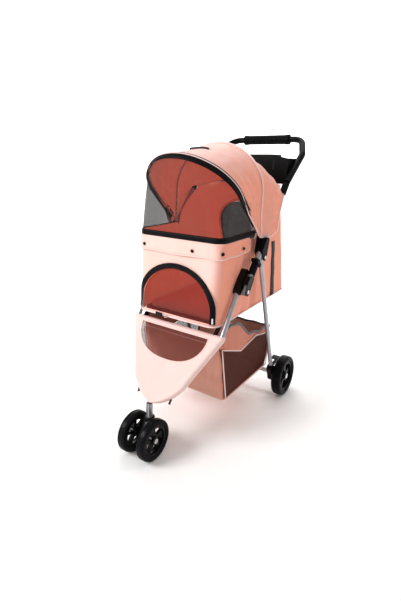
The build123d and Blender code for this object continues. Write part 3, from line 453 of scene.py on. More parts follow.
def studs(name, places, domes, material):
    """Press studs or rivets: domes of (radius, height, lift) on each (place, outward)."""
    shaped = bmesh.new()
    for place, outward in places:
        turn = outward.to_track_quat("Z", "Y").to_matrix().to_4x4()
        for radius, height, lift in domes:
            matrix = Matrix.Translation(place + outward * lift) @ turn @ Matrix.Diagonal(
                (radius, radius, height, 1))
            bmesh.ops.create_uvsphere(shaped, u_segments=20, v_segments=10, radius=1, matrix=matrix)
    return from_shape(name, shaped, material)


def smoothstep(value):
    value = min(1.0, max(0.0, value))
    return value * value * (3 - 2 * value)


def wrinkle(place, amount, grain=14.0):
    """Soft unevenness of cloth at a place."""
    return noise.noise(Vector(place) * grain) * amount


def give(piece, body, replaced=(), squash=None):
    """Parents a piece to its body's empty, hides the CAD parts it replaces, and gives it a mesh of its own
    when a squash is given.
    """
    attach(piece, body)
    if replaced:
        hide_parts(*replaced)
    if squash:
        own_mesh(piece)
    return piece


CABIN_FOLD = ("frame_fold", (0, 0, 1), (0, 0, 0.390), 0.13)
BASKET_FOLD = ("frame_fold", (0, 0, 1), (0, 0, 0.384), 0.06)
HOOP_NORMAL = (0, -math.sin(math.radians(45)), -math.cos(math.radians(45)))
DOME_FOLD = ("canopy_fold", HOOP_NORMAL, tuple(HUB), 0.10)


# Cabin -----------------------------------------------------------------------------------
SHARES = (0.10, 0.05, 0.26, 0.05, 0.08)


def cabin_outline(z):
    """Front, back and half width of the cabin at a height."""
    share = (z - CABIN_FLOOR_Z) / (CABIN_RIM_Z - CABIN_FLOOR_Z)
    return [low + (high - low) * share for low, high in zip(CABIN_FLOOR, CABIN_RIM)]


def cabin_ring(s, z, out=0.0):
    """Point and outward direction on the cabin's outline: s is 0 at the rear's middle, 0.5 at the front's."""
    mirrored = s > 0.5
    s = 1 - s if mirrored else s
    front, back, half = cabin_outline(z)
    total = sum(SHARES) - 0.04
    shares = [share * 0.5 / total for share in (*SHARES[:4], SHARES[4] - 0.04)]
    r = CABIN_CORNER
    if s < shares[0]:
        place = Vector(((half - r) * s / shares[0], back, z))
        outward = Vector((0, 1, 0))
    elif s < sum(shares[:2]):
        angle = (1 - (s - shares[0]) / shares[1]) * math.pi / 2
        outward = Vector((math.cos(angle), math.sin(angle), 0))
        place = Vector((half - r, back - r, z)) + outward * r
    elif s < sum(shares[:3]):
        share = (s - sum(shares[:2])) / shares[2]
        place = Vector((half, back - r - (back - front - 2 * r) * share, z))
        outward = Vector((1, 0, 0))
    elif s < sum(shares[:4]):
        angle = -(s - sum(shares[:3])) / shares[3] * math.pi / 2
        outward = Vector((math.cos(angle), math.sin(angle), 0))
        place = Vector((half - r, front + r, z)) + outward * r
    else:
        share = (s - sum(shares[:4])) / shares[4]
        place = Vector(((half - r) * (1 - share), front, z))
        outward = Vector((0, -1, 0))
    if mirrored:
        place.x, outward.x = -place.x, -outward.x
    return place + outward * out, outward


def cabin_top(s):
    """Height of the cabin's top edge: level in front, rising behind the hub to the rear wall."""
    z = CABIN_RIM_Z
    for _ in range(12):
        y = cabin_ring(s, z)[0].y
        rise = (y - HUB.y - 0.008) / (0.194 - HUB.y - 0.008)
        z = CABIN_RIM_Z + (CABIN_BACK_TOP_Z - CABIN_RIM_Z) * min(1.0, max(0.0, rise)) ** 0.55
    return z


def cabin_fold_depth(s, share):
    """How far the cloth stands out: a soft belly, and upright folds beside the front corners."""
    side = abs(s - 0.5)
    belly = 0.0022 * math.sin(math.pi * min(1.0, share))
    near_corner = math.exp(-((side - 0.185) / 0.05) ** 2)
    fade = math.sin(math.pi * min(1.0, 0.15 + share * 0.85))
    folds = 0.0062 * near_corner * math.cos((side - 0.185) * 170) * fade
    return belly + folds


def cabin_wall(u, v):
    low = CABIN_FLOOR_Z + 0.001
    z = low + (cabin_top(u) - low) * v
    place, outward = cabin_ring(u, z)
    depth = cabin_fold_depth(u, v) + wrinkle((u * 0.9, v * 0.35, 1.3), 0.0022)
    return place + outward * (depth - 0.0015)


def arch(half, height, spring, steps=28):
    """Outline of an arch standing on its base: (across, up) from the right foot to the left."""
    points = [(half, 0.0)]
    for step in range(steps + 1):
        angle = math.pi * step / steps
        points.append((half * math.cos(angle), spring + (height - spring) * math.sin(angle)))
    points.append((-half, 0.0))
    return points


def wall_plane(node, facing):
    """Foot, upward direction, half width and height of the leaning plane that a CAD mesh panel lies in."""
    low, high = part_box(node)
    lean_y = (high.y - low.y) * (1 if facing < 0 else -1)
    foot = Vector((0, low.y if facing < 0 else high.y, low.z))
    up = Vector((0, lean_y, high.z - low.z)).normalized()
    return foot, up, (high.x - low.x) / 2, (high.z - low.z) / up.z


def arch_places(node, facing, grow, spring, out):
    """Points of an arch round a CAD mesh panel, grown outwards and lifted off the wall."""
    foot, up, half, tall = wall_plane(node, facing)
    outward = up.cross(Vector((1, 0, 0))) * (1 if facing > 0 else -1)
    outward = -outward if outward.y * facing < 0 else outward
    outline = arch(half + grow, tall + grow, spring)
    return [foot + Vector((x, 0, 0)) + up * h + outward * out for x, h in outline]


DOOR_SPRING = 0.040
WINDOW_SPRING = 0.080
cabin = sheet("cabin_shell", cabin_wall, 168, 40, looks["pink"], (1.36, 0.33), 0.0016, loop=True,
              inner=looks["lining"])
for node, facing, spring in (("front_door_mesh", -1, DOOR_SPRING), ("rear_window_mesh", 1, WINDOW_SPRING)):
    cut(cabin, prism(arch_places(node, facing, 0.0, spring, 0.0), Vector((0, 0.03, 0))))
give(cabin, "cabin", ["cabin_fabric"], CABIN_FOLD)


def on_front_wall(place, lift):
    """The place moved along Y onto the front wall or its corners, and the wall's outward direction."""
    front, _, half = cabin_outline(place.z)
    past = min(CABIN_CORNER * 0.98, max(0.0, abs(place.x) - half + CABIN_CORNER))
    ahead = math.sqrt(CABIN_CORNER ** 2 - past ** 2)
    outward = Vector((math.copysign(past, place.x), -ahead, 0)).normalized()
    wall = Vector((place.x, front + CABIN_CORNER + outward.y * CABIN_CORNER, place.z))
    return wall + outward * lift, outward


def arch_tape(name, node, facing, spring, width, material):
    """Zip tape round an arch, lying on the wall."""
    edge = arch_places(node, facing, width / 2 - 0.001, spring, 0.0012)
    centre = sum(edge, Vector()) / len(edge)
    fine = []
    for first, second in zip(edge, edge[1:]):
        steps = max(1, round((second - first).length / 0.006))
        fine += [first.lerp(second, i / steps) for i in range(steps)]
    fine.append(edge[-1])
    outwards = [Vector((0, facing, 0))] * len(fine)
    if facing < 0:
        fine, outwards = zip(*[on_front_wall(place, 0.0040) for place in fine])
    places = []
    for i, (place, outward) in enumerate(zip(fine, outwards)):
        run = fine[min(i + 1, len(fine) - 1)] - fine[max(i - 1, 0)]
        across = run.cross(outward).normalized()
        if across.dot(place - centre) < 0:
            across.negate()
        places.append((place, outward, across))
    return tape(name, places, width, material, TAPE, 0.0008)


door_tape = arch_tape("door_zip_tape", "front_door_mesh", -1, DOOR_SPRING, 0.0175, looks["zip"])
give(door_tape, "cabin", ["cabin_zips"], CABIN_FOLD)
window_tape = arch_tape("window_tape", "rear_window_mesh", 1, WINDOW_SPRING, 0.010, looks["piping"])
give(window_tape, "cabin", (), CABIN_FOLD)


def arch_net(name, node, facing, spring, material, bulge):
    """Net inside an arch, drawn slightly out of its plane."""
    foot, up, half, tall = wall_plane(node, facing)

    def point(u, v):
        h = tall * v
        reach = half if h < spring else half * math.sqrt(max(0.0, 1 - ((h - spring) / (tall - spring)) ** 2))
        x = reach * (2 * u - 1)
        belly = bulge * math.sin(math.pi * v) * math.cos(math.pi * (u - 0.5)) + wrinkle((x, h, 0), 0.0012)
        return foot + Vector((x, facing * belly, 0)) + up * h

    return sheet(name, point, 30, 24, material, (2 * half, tall), 0)


door = arch_net("door_net_panel", "front_door_mesh", -1, DOOR_SPRING, looks["door_net"], -0.004)
give(door, "front_door", ["front_door_mesh"])
window = arch_net("window_net_panel", "rear_window_mesh", 1, WINDOW_SPRING, looks["window_net"], 0.001)
give(window, "cabin", ["rear_window_mesh"], CABIN_FOLD)


def ring_share(y_end, z):
    """Outline share where the side wall reaches a y."""
    share = 0.5
    while cabin_ring(share, z)[0].y < y_end:
        share -= 0.0005
    return share


def front_span(y_end, z, steps, out):
    """Outline places from the left side, round the front, to the right side, up to a y."""
    start = ring_share(y_end, z)
    places = []
    for step in range(steps + 1):
        s = start + (1 - 2 * start) * step / steps
        place, outward = cabin_ring(s, z, out)
        places.append((place, outward, Vector((0, 0, 1))))
    return places


RIM_BAND = 0.0225
rim_places = front_span(HUB.y - 0.006, 0.6465, 150, 0.0010)
rim = tape("rim_zip_tape", rim_places, RIM_BAND, looks["zip"], 0.0016, 0.0014)
give(rim, "cabin", (), CABIN_FOLD)
COIL_R = 0.0011
coil_places = front_span(HUB.y - 0.006, 0.6495, 150, 0.0012)
rim_line = [place + outward * 0.0026 for place, outward, _ in coil_places]
rim_coil = rope("rim_zip_coil", rim_line, COIL_R, looks["satin"])
give(rim_coil, "cabin", (), CABIN_FOLD)


skirt_start = ring_share(SKIRT_END_Y, 0.62)


def skirt_cloth(u, v):
    """Flap that hangs from the rim over the wall, with rounded ends and a slightly waved hem."""
    s = skirt_start + (1 - 2 * skirt_start) * u
    edge = min(1.0, min(u, 1 - u) / 0.03)
    low = SKIRT_Z[0] + 0.018 * (1 - math.sqrt(1 - (1 - edge) ** 2)) + 0.0012 * math.sin(u * 34)
    z = low + (SKIRT_Z[1] - low) * v
    place, outward = cabin_ring(s, z)
    lift = 0.0034 + (1 - v) * (0.0026 + 0.0014 * math.sin(u * 41 + 1.0))
    return place + outward * lift


skirt = sheet("skirt_cloth", skirt_cloth, 150, 10, looks["pink"], (0.80, 0.047), 0.0014)
give(skirt, "cabin", ["skirt_flap"], CABIN_FOLD)
hem = rope("skirt_hem", [skirt_cloth(i / 150, 0.0) for i in range(151)], 0.0017, looks["piping"])
give(hem, "cabin", (), CABIN_FOLD)


def snaps():
    """Press studs along the skirt: across the front and on the sides."""
    z = 0.612
    places = [on_front_wall(Vector((x, 0, z)), 0.0080) for x in (-0.126, 0.060, 0.150)]
    for sign in (-1, 1):
        places.append((Vector((sign * (cabin_outline(z)[2] + 0.0085), -0.068, z)), Vector((sign, 0, 0))))
    return studs("snap_studs", places, ((0.0056, 0.0016, 0.0004), (0.0040, 0.0026, 0.0014)), looks["gloss"])


give(snaps(), "cabin", ["skirt_snaps"], CABIN_FOLD)

bottom_ring = [cabin_ring(i / 200, CABIN_FLOOR_Z + 0.0022, 0.0012)[0] for i in range(200)]
bottom = rope("bottom_piping", bottom_ring, 0.0028, looks["piping"], loop=True)
give(bottom, "cabin", (), CABIN_FOLD)


def side_strap(sign):
    """Black webbing sewn up the rear of a side wall."""
    places = []
    for step in range(31):
        z = 0.394 + 0.206 * step / 30
        y = 0.190 - 0.030 * step / 30
        _, _, half = cabin_outline(z)
        wave = 0.0012 * math.sin(step * 0.55)
        place = Vector((sign * (half + 0.0022), y + wave, z))
        places.append((place, Vector((sign, 0, 0)), Vector((0, 1, 0))))
    return tape(f"side_strap_{SIDES[sign]}", places, 0.025, looks["webbing"], 0.0014, 0.0006)


for sign, replaced in ((1, ["side_straps"]), (-1, ())):
    give(side_strap(sign), "cabin", replaced, CABIN_FOLD)


# Floor cushion ---------------------------------------------------------------------------
def cushion():
    """Padded floor mat: blown up as cloth, then capped so that it stays near its block."""
    low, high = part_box("floor_cushion")
    middle = (low + high) / 2
    shaped = bmesh.new()
    size = high - low - Vector((0.012, 0.012, 0.008))
    bmesh.ops.create_cube(shaped, size=1, matrix=Matrix.Translation(middle) @ Matrix.Diagonal((*size, 1)))
    upright = [edge for edge in shaped.edges if abs(edge.verts[0].co.z - edge.verts[1].co.z) > 0.001]
    bmesh.ops.bevel(shaped, geom=upright, offset=0.03, segments=6, affect="EDGES", profile=0.5)
    pad = from_shape("cushion_pad", shaped, looks["cushion"])
    remesh = pad.modifiers.new("remesh", "REMESH")
    remesh.mode = "VOXEL"
    remesh.voxel_size = 0.006
    applied(pad)
    rest = [vertex.co.copy() for vertex in pad.data.vertices]
    blow = pad.modifiers.new("cloth", "CLOTH")
    blow.settings.use_pressure = True
    blow.settings.uniform_pressure_force = 4.0
    blow.settings.effector_weights.gravity = 0.0
    blow.settings.quality = 5
    for step in range(1, 21):
        bpy.context.scene.frame_set(step)
    applied(pad)
    bpy.context.scene.frame_set(1)
    for vertex, start in zip(pad.data.vertices, rest):
        moved = vertex.co - start
        if moved.length > 0.006:
            vertex.co = start + moved.normalized() * 0.006
        vertex.co.z = max(vertex.co.z, low.z + 0.0002)
        quilt = math.sin((vertex.co.x + vertex.co.y) * 70) * math.sin((vertex.co.x - vertex.co.y) * 70)
        if vertex.co.z > middle.z:
            vertex.co.z -= 0.0025 * (1 - min(1.0, abs(quilt) * 4))
    finer = pad.modifiers.new("finer", "SUBSURF")
    finer.levels = 1
    finer.render_levels = 1
    applied(pad)
    for face in pad.data.polygons:
        face.use_smooth = True
    return pad


pad = cushion()
give(pad, "cabin", ["floor_cushion"], CABIN_FOLD)


# Canopy ----------------------------------------------------------------------------------
def hoop_up(tilt):
    """Direction from the hub up along a hoop that leans back by a tilt from straight ahead."""
    return Vector((0, -math.cos(math.radians(tilt)), math.sin(math.radians(tilt))))


def hoop_place(hoop, t, out, foot):
    """Point on a hoop's line; t is 0 at the left foot, 0.5 at the top, 1 at the right foot."""
    side = 1 if t < 0.5 else -1
    t = min(t, 1 - t)
    half = hoop["half"] + out
    up = hoop_up(hoop["tilt"])
    if t < LEG_SHARE:
        share = t / LEG_SHARE
        place = foot.lerp(HUB + Vector((half, 0, 0)) + up * hoop["spring"], share)
        place.x = foot.x + (half - foot.x) * smoothstep(share * 1.6)
    else:
        angle = (t - LEG_SHARE) / (0.5 - LEG_SHARE) * math.pi / 2
        rise = hoop["height"] - hoop["spring"] + out
        place = HUB + Vector((half * math.cos(angle), 0, 0)) + up * (
            hoop["spring"] + rise * math.sin(angle))
    place.x *= side
    return place


def canopy_part(stations, sag, ahead):
    """Sheet over a row of (hoop, foot) stations: it dips between them and creases softly."""
    shift = Vector(HOOP_NORMAL) * ahead
    spans = len(stations) - 1

    def point(u, v):
        index = min(spans - 1, int(v * spans))
        first, second = [hoop_place(hoop, u, 0.0046, foot) for hoop, foot in stations[index:index + 2]]
        rise = math.sin(math.pi * u)
        place = first.lerp(second, v * spans - index) + shift * rise * max(0.0, 1 - v * spans)
        inward = (Vector((0, HUB.y, HUB.z + 0.10)) - place).normalized()
        crease = wrinkle((u * 1.1, v * 0.4, 4.0), 0.006) + wrinkle((u * 2.6, v * 0.5, 9.0), 0.0035)
        return place + inward * (sag * rise + crease) * math.sin(math.pi * v)

    return point


front_point = canopy_part([(FRONT_HOOP, FRONT_FOOT), (MID_HOOP, MID_FOOT)], 0.004, -0.0075)
rear_point = canopy_part([(MID_HOOP, MID_FOOT), (FLARE, FLARE_FOOT), (REAR_EDGE, REAR_FOOT)], 0.003, 0.0)


def canopy_blend(piece, lower, upper, first, second):
    """Works the piece's transform into its mesh."""
    reach = 0.20
    start = HUB + hoop_up(first) * reach
    end = HUB + hoop_up(second) * reach
    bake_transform(piece)


def give_canopy(piece, lower, upper, first, second, replaced=()):
    if replaced:
        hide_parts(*replaced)
    canopy_blend(piece, lower, upper, first, second)


front_sheet = sheet("canopy_front", front_point, 130, 26, looks["pink"], (0.85, 0.22), CLOTH,
                    inner=looks["lining"])
give_canopy(front_sheet, "canopy_mid", "canopy_front", MID_HOOP["tilt"], FRONT_HOOP["tilt"],
            ["canopy_front_fabric"])
rear_sheet = sheet("canopy_rear", rear_point, 130, 24, looks["pink"], (0.85, 0.20), CLOTH,
                   inner=looks["lining"])
give_canopy(rear_sheet, "handle_frame", "canopy_mid", REAR_EDGE["tilt"], MID_HOOP["tilt"],
            ["canopy_rear_fabric"])

EDGE_STEPS = 150


def edge_line(point, v, lift):
    """Line along a canopy sheet's edge or seam, lifted outwards."""
    line = []
    for step in range(EDGE_STEPS + 1):
        place = point(step / EDGE_STEPS, v)
        outward = Vector((place.x, 0, 0)) if abs(place.x) > 0.165 else place - (HUB + Vector((0, 0, 0.08)))
        line.append(place + outward.normalized() * lift)
    return line


front_piping = rope("canopy_front_piping", edge_line(front_point, 0.0, 0.0010), 0.0024, looks["piping"])
give(front_piping, "canopy_front")
mid_piping = rope("canopy_mid_piping", edge_line(front_point, 1.0, 0.0022), 0.0030, looks["piping"])
give(mid_piping, "canopy_mid")
rear_binding = rope("canopy_rear_binding", edge_line(rear_point, 1.0, 0.0012), 0.0030, looks["piping"])
give(rear_binding, "handle_frame")


for part, point, bodies, tilts in (
    ("front", front_point, ("canopy_mid", "canopy_front"), (MID_HOOP["tilt"], FRONT_HOOP["tilt"])),
    ("rear", rear_point, ("handle_frame", "canopy_mid"), (REAR_EDGE["tilt"], MID_HOOP["tilt"])),
):
    for side, u in (("left", 0.0), ("right", 1.0)):
        hem_line = [point(u, i / 20) for i in range(21)]
        give_canopy(rope(f"canopy_{part}_hem_{side}", hem_line, 0.0022, looks["piping"]), *bodies, *tilts)


HOOP_BAND_FOOT = 0.036
HOOP_BAND = 0.0250
BAND_LEG_SHARE = 0.28


def hoop_band_places(out):
    """Places along the front hoop for its zip band; across lies square to the hoop's plane."""
    across = -Vector(HOOP_NORMAL)
    centre = HUB + hoop_up(FRONT_HOOP["tilt"]) * 0.17
    places = []
    for step in range(161):
        place = band_line(step / 160, out)
        outward = place - centre
        outward -= across * outward.dot(across)
        places.append((place, outward.normalized(), across))
    return places


def band_line(t, out):
    """The front hoop's own line, a little proud of its wire."""
    half = FRONT_HOOP["half"] + out
    up = hoop_up(FRONT_HOOP["tilt"])
    side = 1 if t < 0.5 else -1
    t = min(t, 1 - t)
    if t < BAND_LEG_SHARE:
        climb = FRONT_HOOP["spring"] - HOOP_BAND_FOOT
        place = HUB + Vector((half, 0, 0)) + up * (HOOP_BAND_FOOT + climb * t / BAND_LEG_SHARE)
    else:
        angle = (t - BAND_LEG_SHARE) / (0.5 - BAND_LEG_SHARE) * math.pi / 2
        rise = FRONT_HOOP["height"] - FRONT_HOOP["spring"] + out
        place = HUB + Vector((half * math.cos(angle), 0, 0)) + up * (
            FRONT_HOOP["spring"] + rise * math.sin(angle))
    place.x *= side
    return place


band_places = hoop_band_places(0.0040)
band = tape("hoop_zip_tape", band_places, HOOP_BAND, looks["zip"], 0.0016, 0.0016)
give(band, "canopy_front", ["hoop_zip_band"])
band_coil = rope("hoop_zip_coil", [place + outward * 0.003 for place, outward, _ in band_places], COIL_R,
                 looks["satin"])
give(band_coil, "canopy_front")


# Dome net between the front hoop and the rim ---------------------------------------------
dome_start = ring_share(HUB.y - 0.030, CABIN_RIM_Z)


def dome_point(u, v):
    """Net stretched from the rim, round its front corners, up to the front hoop."""
    s = dome_start + (1 - 2 * dome_start) * u
    low = cabin_ring(s, CABIN_RIM_Z, 0.0005)[0]
    high = band_line(0.07 + 0.86 * u, 0.001) + Vector(HOOP_NORMAL) * 0.006
    place = low.lerp(high, v)
    belly = 0.003 * math.sin(math.pi * v) * math.sin(math.pi * u)
    return place + Vector((0, -belly, 0))


dome = sheet("dome_net", dome_point, 100, 28, looks["dome_net"], (0.80, 0.24), 0)
give(dome, "canopy_front", ["dome_mesh"], DOME_FOLD)


# Front panel -----------------------------------------------------------------------------
PANEL_OUT = 0.0118
PANEL_TIP = 0.238
SLEEVE_R = 0.0102
panel_down = Vector((0, -math.cos(PANEL_SLOPE), -math.sin(PANEL_SLOPE)))
panel_out = Vector((0, -math.sin(PANEL_SLOPE), math.cos(PANEL_SLOPE)))


def panel_half(down):
    """Half width of the panel at a distance down: it follows the tubes, then rounds off."""
    if down < 0.150:
        return 0.1755 - 0.478 * max(0.0, down)
    share = min(1.0, (down - 0.150) / (PANEL_TIP - 0.150))
    return 0.1038 * (1 - share ** 1.35) ** 0.62 + 0.0001


def panel_place(x, down, out):
    return CROSSBAR + Vector((x, 0, 0)) + panel_down * down + panel_out * out


def panel_cloth(u, v):
    """Triangle of cloth sleeved over the crossbar and wrapped round the two lower tubes."""
    over = 0.10
    across = 2 * u - 1
    if v < over:
        turn = math.radians(150) * (1 - v / over)
        down, front = -SLEEVE_R * math.sin(turn), PANEL_OUT * math.cos(turn)
    else:
        down = PANEL_TIP * math.sin((v - over) / (1 - over) * math.pi / 2)
        front = PANEL_OUT
    half = panel_half(down)
    wrap = min(SLEEVE_R, half)
    if abs(across) < 0.8:
        x = (half - wrap) * across / 0.8
        flat = 1 - (across / 0.8) ** 2
        slack = math.sin(math.pi * min(1.0, max(0.0, down) / PANEL_TIP)) * flat
        front += (-0.004 + wrinkle((x * 1.2, down * 0.5, 2.0), 0.0030)) * slack
    else:
        turn = math.pi / 2 - (abs(across) - 0.8) / 0.2 * math.radians(165)
        x = math.copysign(half - wrap + wrap * math.cos(turn), across)
        front = front * math.sin(turn) if front > 0 else front
    return panel_place(x, down, front)


WINDOW_TOP = 0.0085
WINDOW_HALF = 0.128
WINDOW_DROP = 0.094


def in_window(u, v):
    """Whether a spot of the panel's cloth lies inside its half-moon window."""
    offset = panel_cloth(u, v) - CROSSBAR
    down = offset.dot(panel_down) - WINDOW_TOP
    if down < 0 or abs(offset.x) > WINDOW_HALF:
        return False
    return (abs(offset.x) / WINDOW_HALF) ** 2.33 + (down / WINDOW_DROP) ** 2.17 < 1


panel = sheet("panel_cloth", panel_cloth, 200, 150, looks["panel"], (0.34, 0.24), 0.0015, hole=in_window)
give(panel, "front_legs", ["front_panel"])


def moon_spot(angle, reach, drop):
    """Spot on a half-moon of a reach and a drop: how far across, how far down."""
    return (math.copysign(abs(math.cos(angle)) ** 0.86, math.cos(angle)) * reach,
            math.sin(angle) ** 0.92 * drop)


def half_moon(grow, steps=40):
    """Outline of the panel's window: straight on top, round below."""
    points = []
    for step in range(steps + 1):
        x, down = moon_spot(math.pi * step / steps, WINDOW_HALF + grow, WINDOW_DROP + grow * 2)
        points.append((x, WINDOW_TOP - grow + down))
    return points


def panel_net():
    """Net behind the half-moon window."""

    def point(u, v):
        angle = math.pi * u
        x, down = moon_spot(angle, WINDOW_HALF + 0.002, WINDOW_DROP + 0.003)
        return panel_place(x, WINDOW_TOP - 0.001 + down * v, PANEL_OUT - 0.0035 - 0.003 * math.sin(angle))

    return sheet("panel_net", point, 48, 14, looks["door_net"], (0.26, 0.095), 0)


give(panel_net(), "front_legs", ["front_panel_mesh"])


def panel_surface(x, down):
    """Height of the panel's cloth in front of the tubes' plane."""
    across = x / panel_half(down)
    belly = -0.004 * (1 - across ** 2) * math.sin(math.pi * min(1.0, down / PANEL_TIP))
    return PANEL_OUT + belly + 0.0010


moon = half_moon(0.0012)
moon_line = [panel_place(x, down, panel_surface(x, down)) for x, down in moon]
moon_piping = rope("panel_window_piping", moon_line, 0.0016, looks["piping"], loop=True)
give(moon_piping, "front_legs")
seams = [[panel_cloth(0.10 + 0.8 * i / 60, 0.15) + panel_out * 0.001 for i in range(61)]]
for side in (0.075, 0.925):
    seams.append([panel_cloth(side, 0.2 + 0.75 * i / 60) + panel_out * 0.0008 for i in range(61)])
give(stitches("panel_stitches", seams, looks["thread"]), "front_legs")


# Fittings --------------------------------------------------------------------------------
def tab(name, place, outward, hang, long, width, material):
    """Short flat tab hanging from a place."""
    across = hang.cross(outward).normalized()
    places = [(place + hang * long * i / 6 + outward * 0.0006 * math.sin(i), outward, across)
              for i in range(7)]
    return tape(name, places, width, material, 0.0016, 0.0005)


for sign, side in SIDES.items():
    out = Vector((sign, 0, 0))
    corner, facing = on_front_wall(Vector((sign * 0.136, 0, 0.404)), 0.0075)
    pull = tab(f"door_pull_{side}", corner, facing, Vector((0, 0, 1)), 0.017, 0.0045, looks["tab"])
    give(pull, "cabin", (), CABIN_FOLD)
    rim_end = Vector((sign * 0.1625, HUB.y - 0.012, 0.6495))
    hang = Vector((0, -0.35, -1)).normalized()
    pull = tab(f"rim_pull_{side}", rim_end, out, hang, 0.020, 0.0050, looks["tab"])
    give(pull, "cabin", (), CABIN_FOLD)
    bolt = CROSSBAR + Vector((sign * 0.1412, 0, 0))
    give(studs(f"hanger_bolt_{side}", [(bolt, out)], ((0.0048, 0.0022, 0.0),), looks["steel"]), "front_legs")
    loop_place = panel_place(sign * (panel_half(0.205) - 0.004), 0.205, -0.002)
    loop = tab(f"panel_loop_{side}", loop_place, out, panel_down, 0.018, 0.010, looks["webbing"])
    give(loop, "front_legs")
buckle = Vector((-0.045, cabin_outline(CABIN_FLOOR_Z)[0] - 0.006, CABIN_FLOOR_Z + 0.004))
buckle_tab = tab("door_buckle", buckle, Vector((0, -1, 0)), Vector((-1, 0, 0)), 0.026, 0.013, looks["gloss"])
give(buckle_tab, "cabin", (), CABIN_FOLD)
ring_points = [buckle + Vector((0.014 + 0.006 * math.cos(i * 0.3927), -0.001, 0.006 * math.sin(i * 0.3927)))
               for i in range(16)]
give(rope("door_ring", ring_points, 0.0010, looks["steel"], loop=True), "cabin", (), CABIN_FOLD)
vent = [front_point(0.5 + (i - 8) * 0.0034, 0.52) + Vector((0, 0, 0.0030)) for i in range(17)]
vent_loop = rope("canopy_vent_loop", vent, 0.0036, looks["webbing"])
canopy_blend(vent_loop, "canopy_mid", "canopy_front", MID_HOOP["tilt"], FRONT_HOOP["tilt"])


def skirt_seam():
    """Stitch line just above the skirt's hem and under the rim."""
    outwards = [cabin_ring(skirt_start + (1 - 2 * skirt_start) * i / 200, 0.62)[1] for i in range(201)]
    return [[skirt_cloth(i / 200, v) + outwards[i] * 0.0010 for i in range(201)] for v in (0.10, 0.88)]


give(stitches("skirt_stitches", skirt_seam(), looks["thread"]), "cabin", (), CABIN_FOLD)


# Basket ----------------------------------------------------------------------------------
BASKET_TOP = ((-0.185, 0.340), (-0.124, 0.370), (-0.074, 0.366), (0.030, 0.298), (0.100, 0.281),
              (0.150, 0.280), (0.205, 0.268))
BASKET_WINDOW = ((-0.1385, 0.130), (0.154, 0.130), (0.178, 0.256), (0.122, 0.265), (0.060, 0.279),
                 (-0.049, 0.264), (-0.169, 0.312))
BASKET_WINDOW_EDGES = list(zip(BASKET_WINDOW, BASKET_WINDOW[1:] + BASKET_WINDOW[:1]))


def basket_top(y):
    """Height of the basket's top edge along its side."""
    for (y0, z0), (y1, z1) in zip(BASKET_TOP, BASKET_TOP[1:]):
        if y <= y1:
            return z0 + (z1 - z0) * smoothstep((y - y0) / (y1 - y0))
    return BASKET_TOP[-1][1]


def basket_ring(s, z):
    """Point and outward direction on the basket's outline: s is 0 at the rear, 0.5 at the front."""
    mirrored = s > 0.5
    s = 2 * (1 - s if mirrored else s)
    front = -0.140 - 0.036 * (z - BASKET_FLOOR_Z) / 0.218
    back = 0.160 + 0.038 * (z - BASKET_FLOOR_Z) / 0.146
    half, r = BASKET_HALF, 0.016
    if s < 0.22:
        place, outward = Vector(((half - r) * s / 0.22, back, z)), Vector((0, 1, 0))
    elif s < 0.27:
        angle = (1 - (s - 0.22) / 0.05) * math.pi / 2
        outward = Vector((math.cos(angle), math.sin(angle), 0))
        place = Vector((half - r, back - r, z)) + outward * r
    elif s < 0.73:
        share = (s - 0.27) / 0.46
        place, outward = Vector((half, back - r - (back - front - 2 * r) * share, z)), Vector((1, 0, 0))
    elif s < 0.78:
        angle = -(s - 0.73) / 0.05 * math.pi / 2
        outward = Vector((math.cos(angle), math.sin(angle), 0))
        place = Vector((half - r, front + r, z)) + outward * r
    else:
        place, outward = Vector(((half - r) * (1 - (s - 0.78) / 0.22), front, z)), Vector((0, -1, 0))
    if mirrored:
        place.x, outward.x = -place.x, -outward.x
    return place, outward


def basket_height(s):
    """Top of the basket's wall at an outline share."""
    z = 0.30
    for _ in range(10):
        z = basket_top(basket_ring(s, z)[0].y)
    return z


def basket_wall(u, v):
    top = basket_height(u)
    z = BASKET_FLOOR_Z + 0.001 + (top - BASKET_FLOOR_Z - 0.001) * v
    place, outward = basket_ring(u, z)
    belly = 0.004 * math.sin(math.pi * v) - 0.003 * smoothstep((v - 0.7) / 0.3)
    upright = 0.0016 * math.cos(u * 260) * math.exp(-((abs(u - 0.5) - 0.11) / 0.05) ** 2)
    slack = wrinkle((u * 1.4, v * 0.4, 7.0), 0.0040) * math.sin(math.pi * v)
    return place + outward * (belly + upright + slack)


basket = sheet("basket_shell", basket_wall, 150, 30, looks["orange"], (1.2, 0.2), 0.0016, loop=True)
for sign in (1, -1):
    window_outline = [Vector((sign * BASKET_HALF, y, z)) for y, z in BASKET_WINDOW]
    cut(basket, prism(window_outline, Vector((0.014, 0, 0))))
give(basket, "cabin", ["basket_fabric"], BASKET_FOLD)


def basket_floor(u, v):
    """Floor cloth, hanging a little between its edges."""
    edge = basket_ring(u, BASKET_FLOOR_Z)[0]
    middle = Vector((0, 0.010, BASKET_FLOOR_Z))
    place = middle.lerp(edge, v)
    place.z = BASKET_FLOOR_Z + 0.001 - 0.005 * (1 - v ** 2)
    return place


floor_cloth = sheet("basket_floor", basket_floor, 60, 12, looks["orange"], (0.9, 0.2), 0.0014, loop=True)
give(floor_cloth, "cabin", (), BASKET_FOLD)


def inside_window(y):
    """Lowest and highest point of the basket's side net at a y."""
    found = []
    for (y0, z0), (y1, z1) in BASKET_WINDOW_EDGES:
        if min(y0, y1) <= y <= max(y0, y1) and y0 != y1:
            found.append(z0 + (z1 - z0) * (y - y0) / (y1 - y0))
    return min(found), max(found)


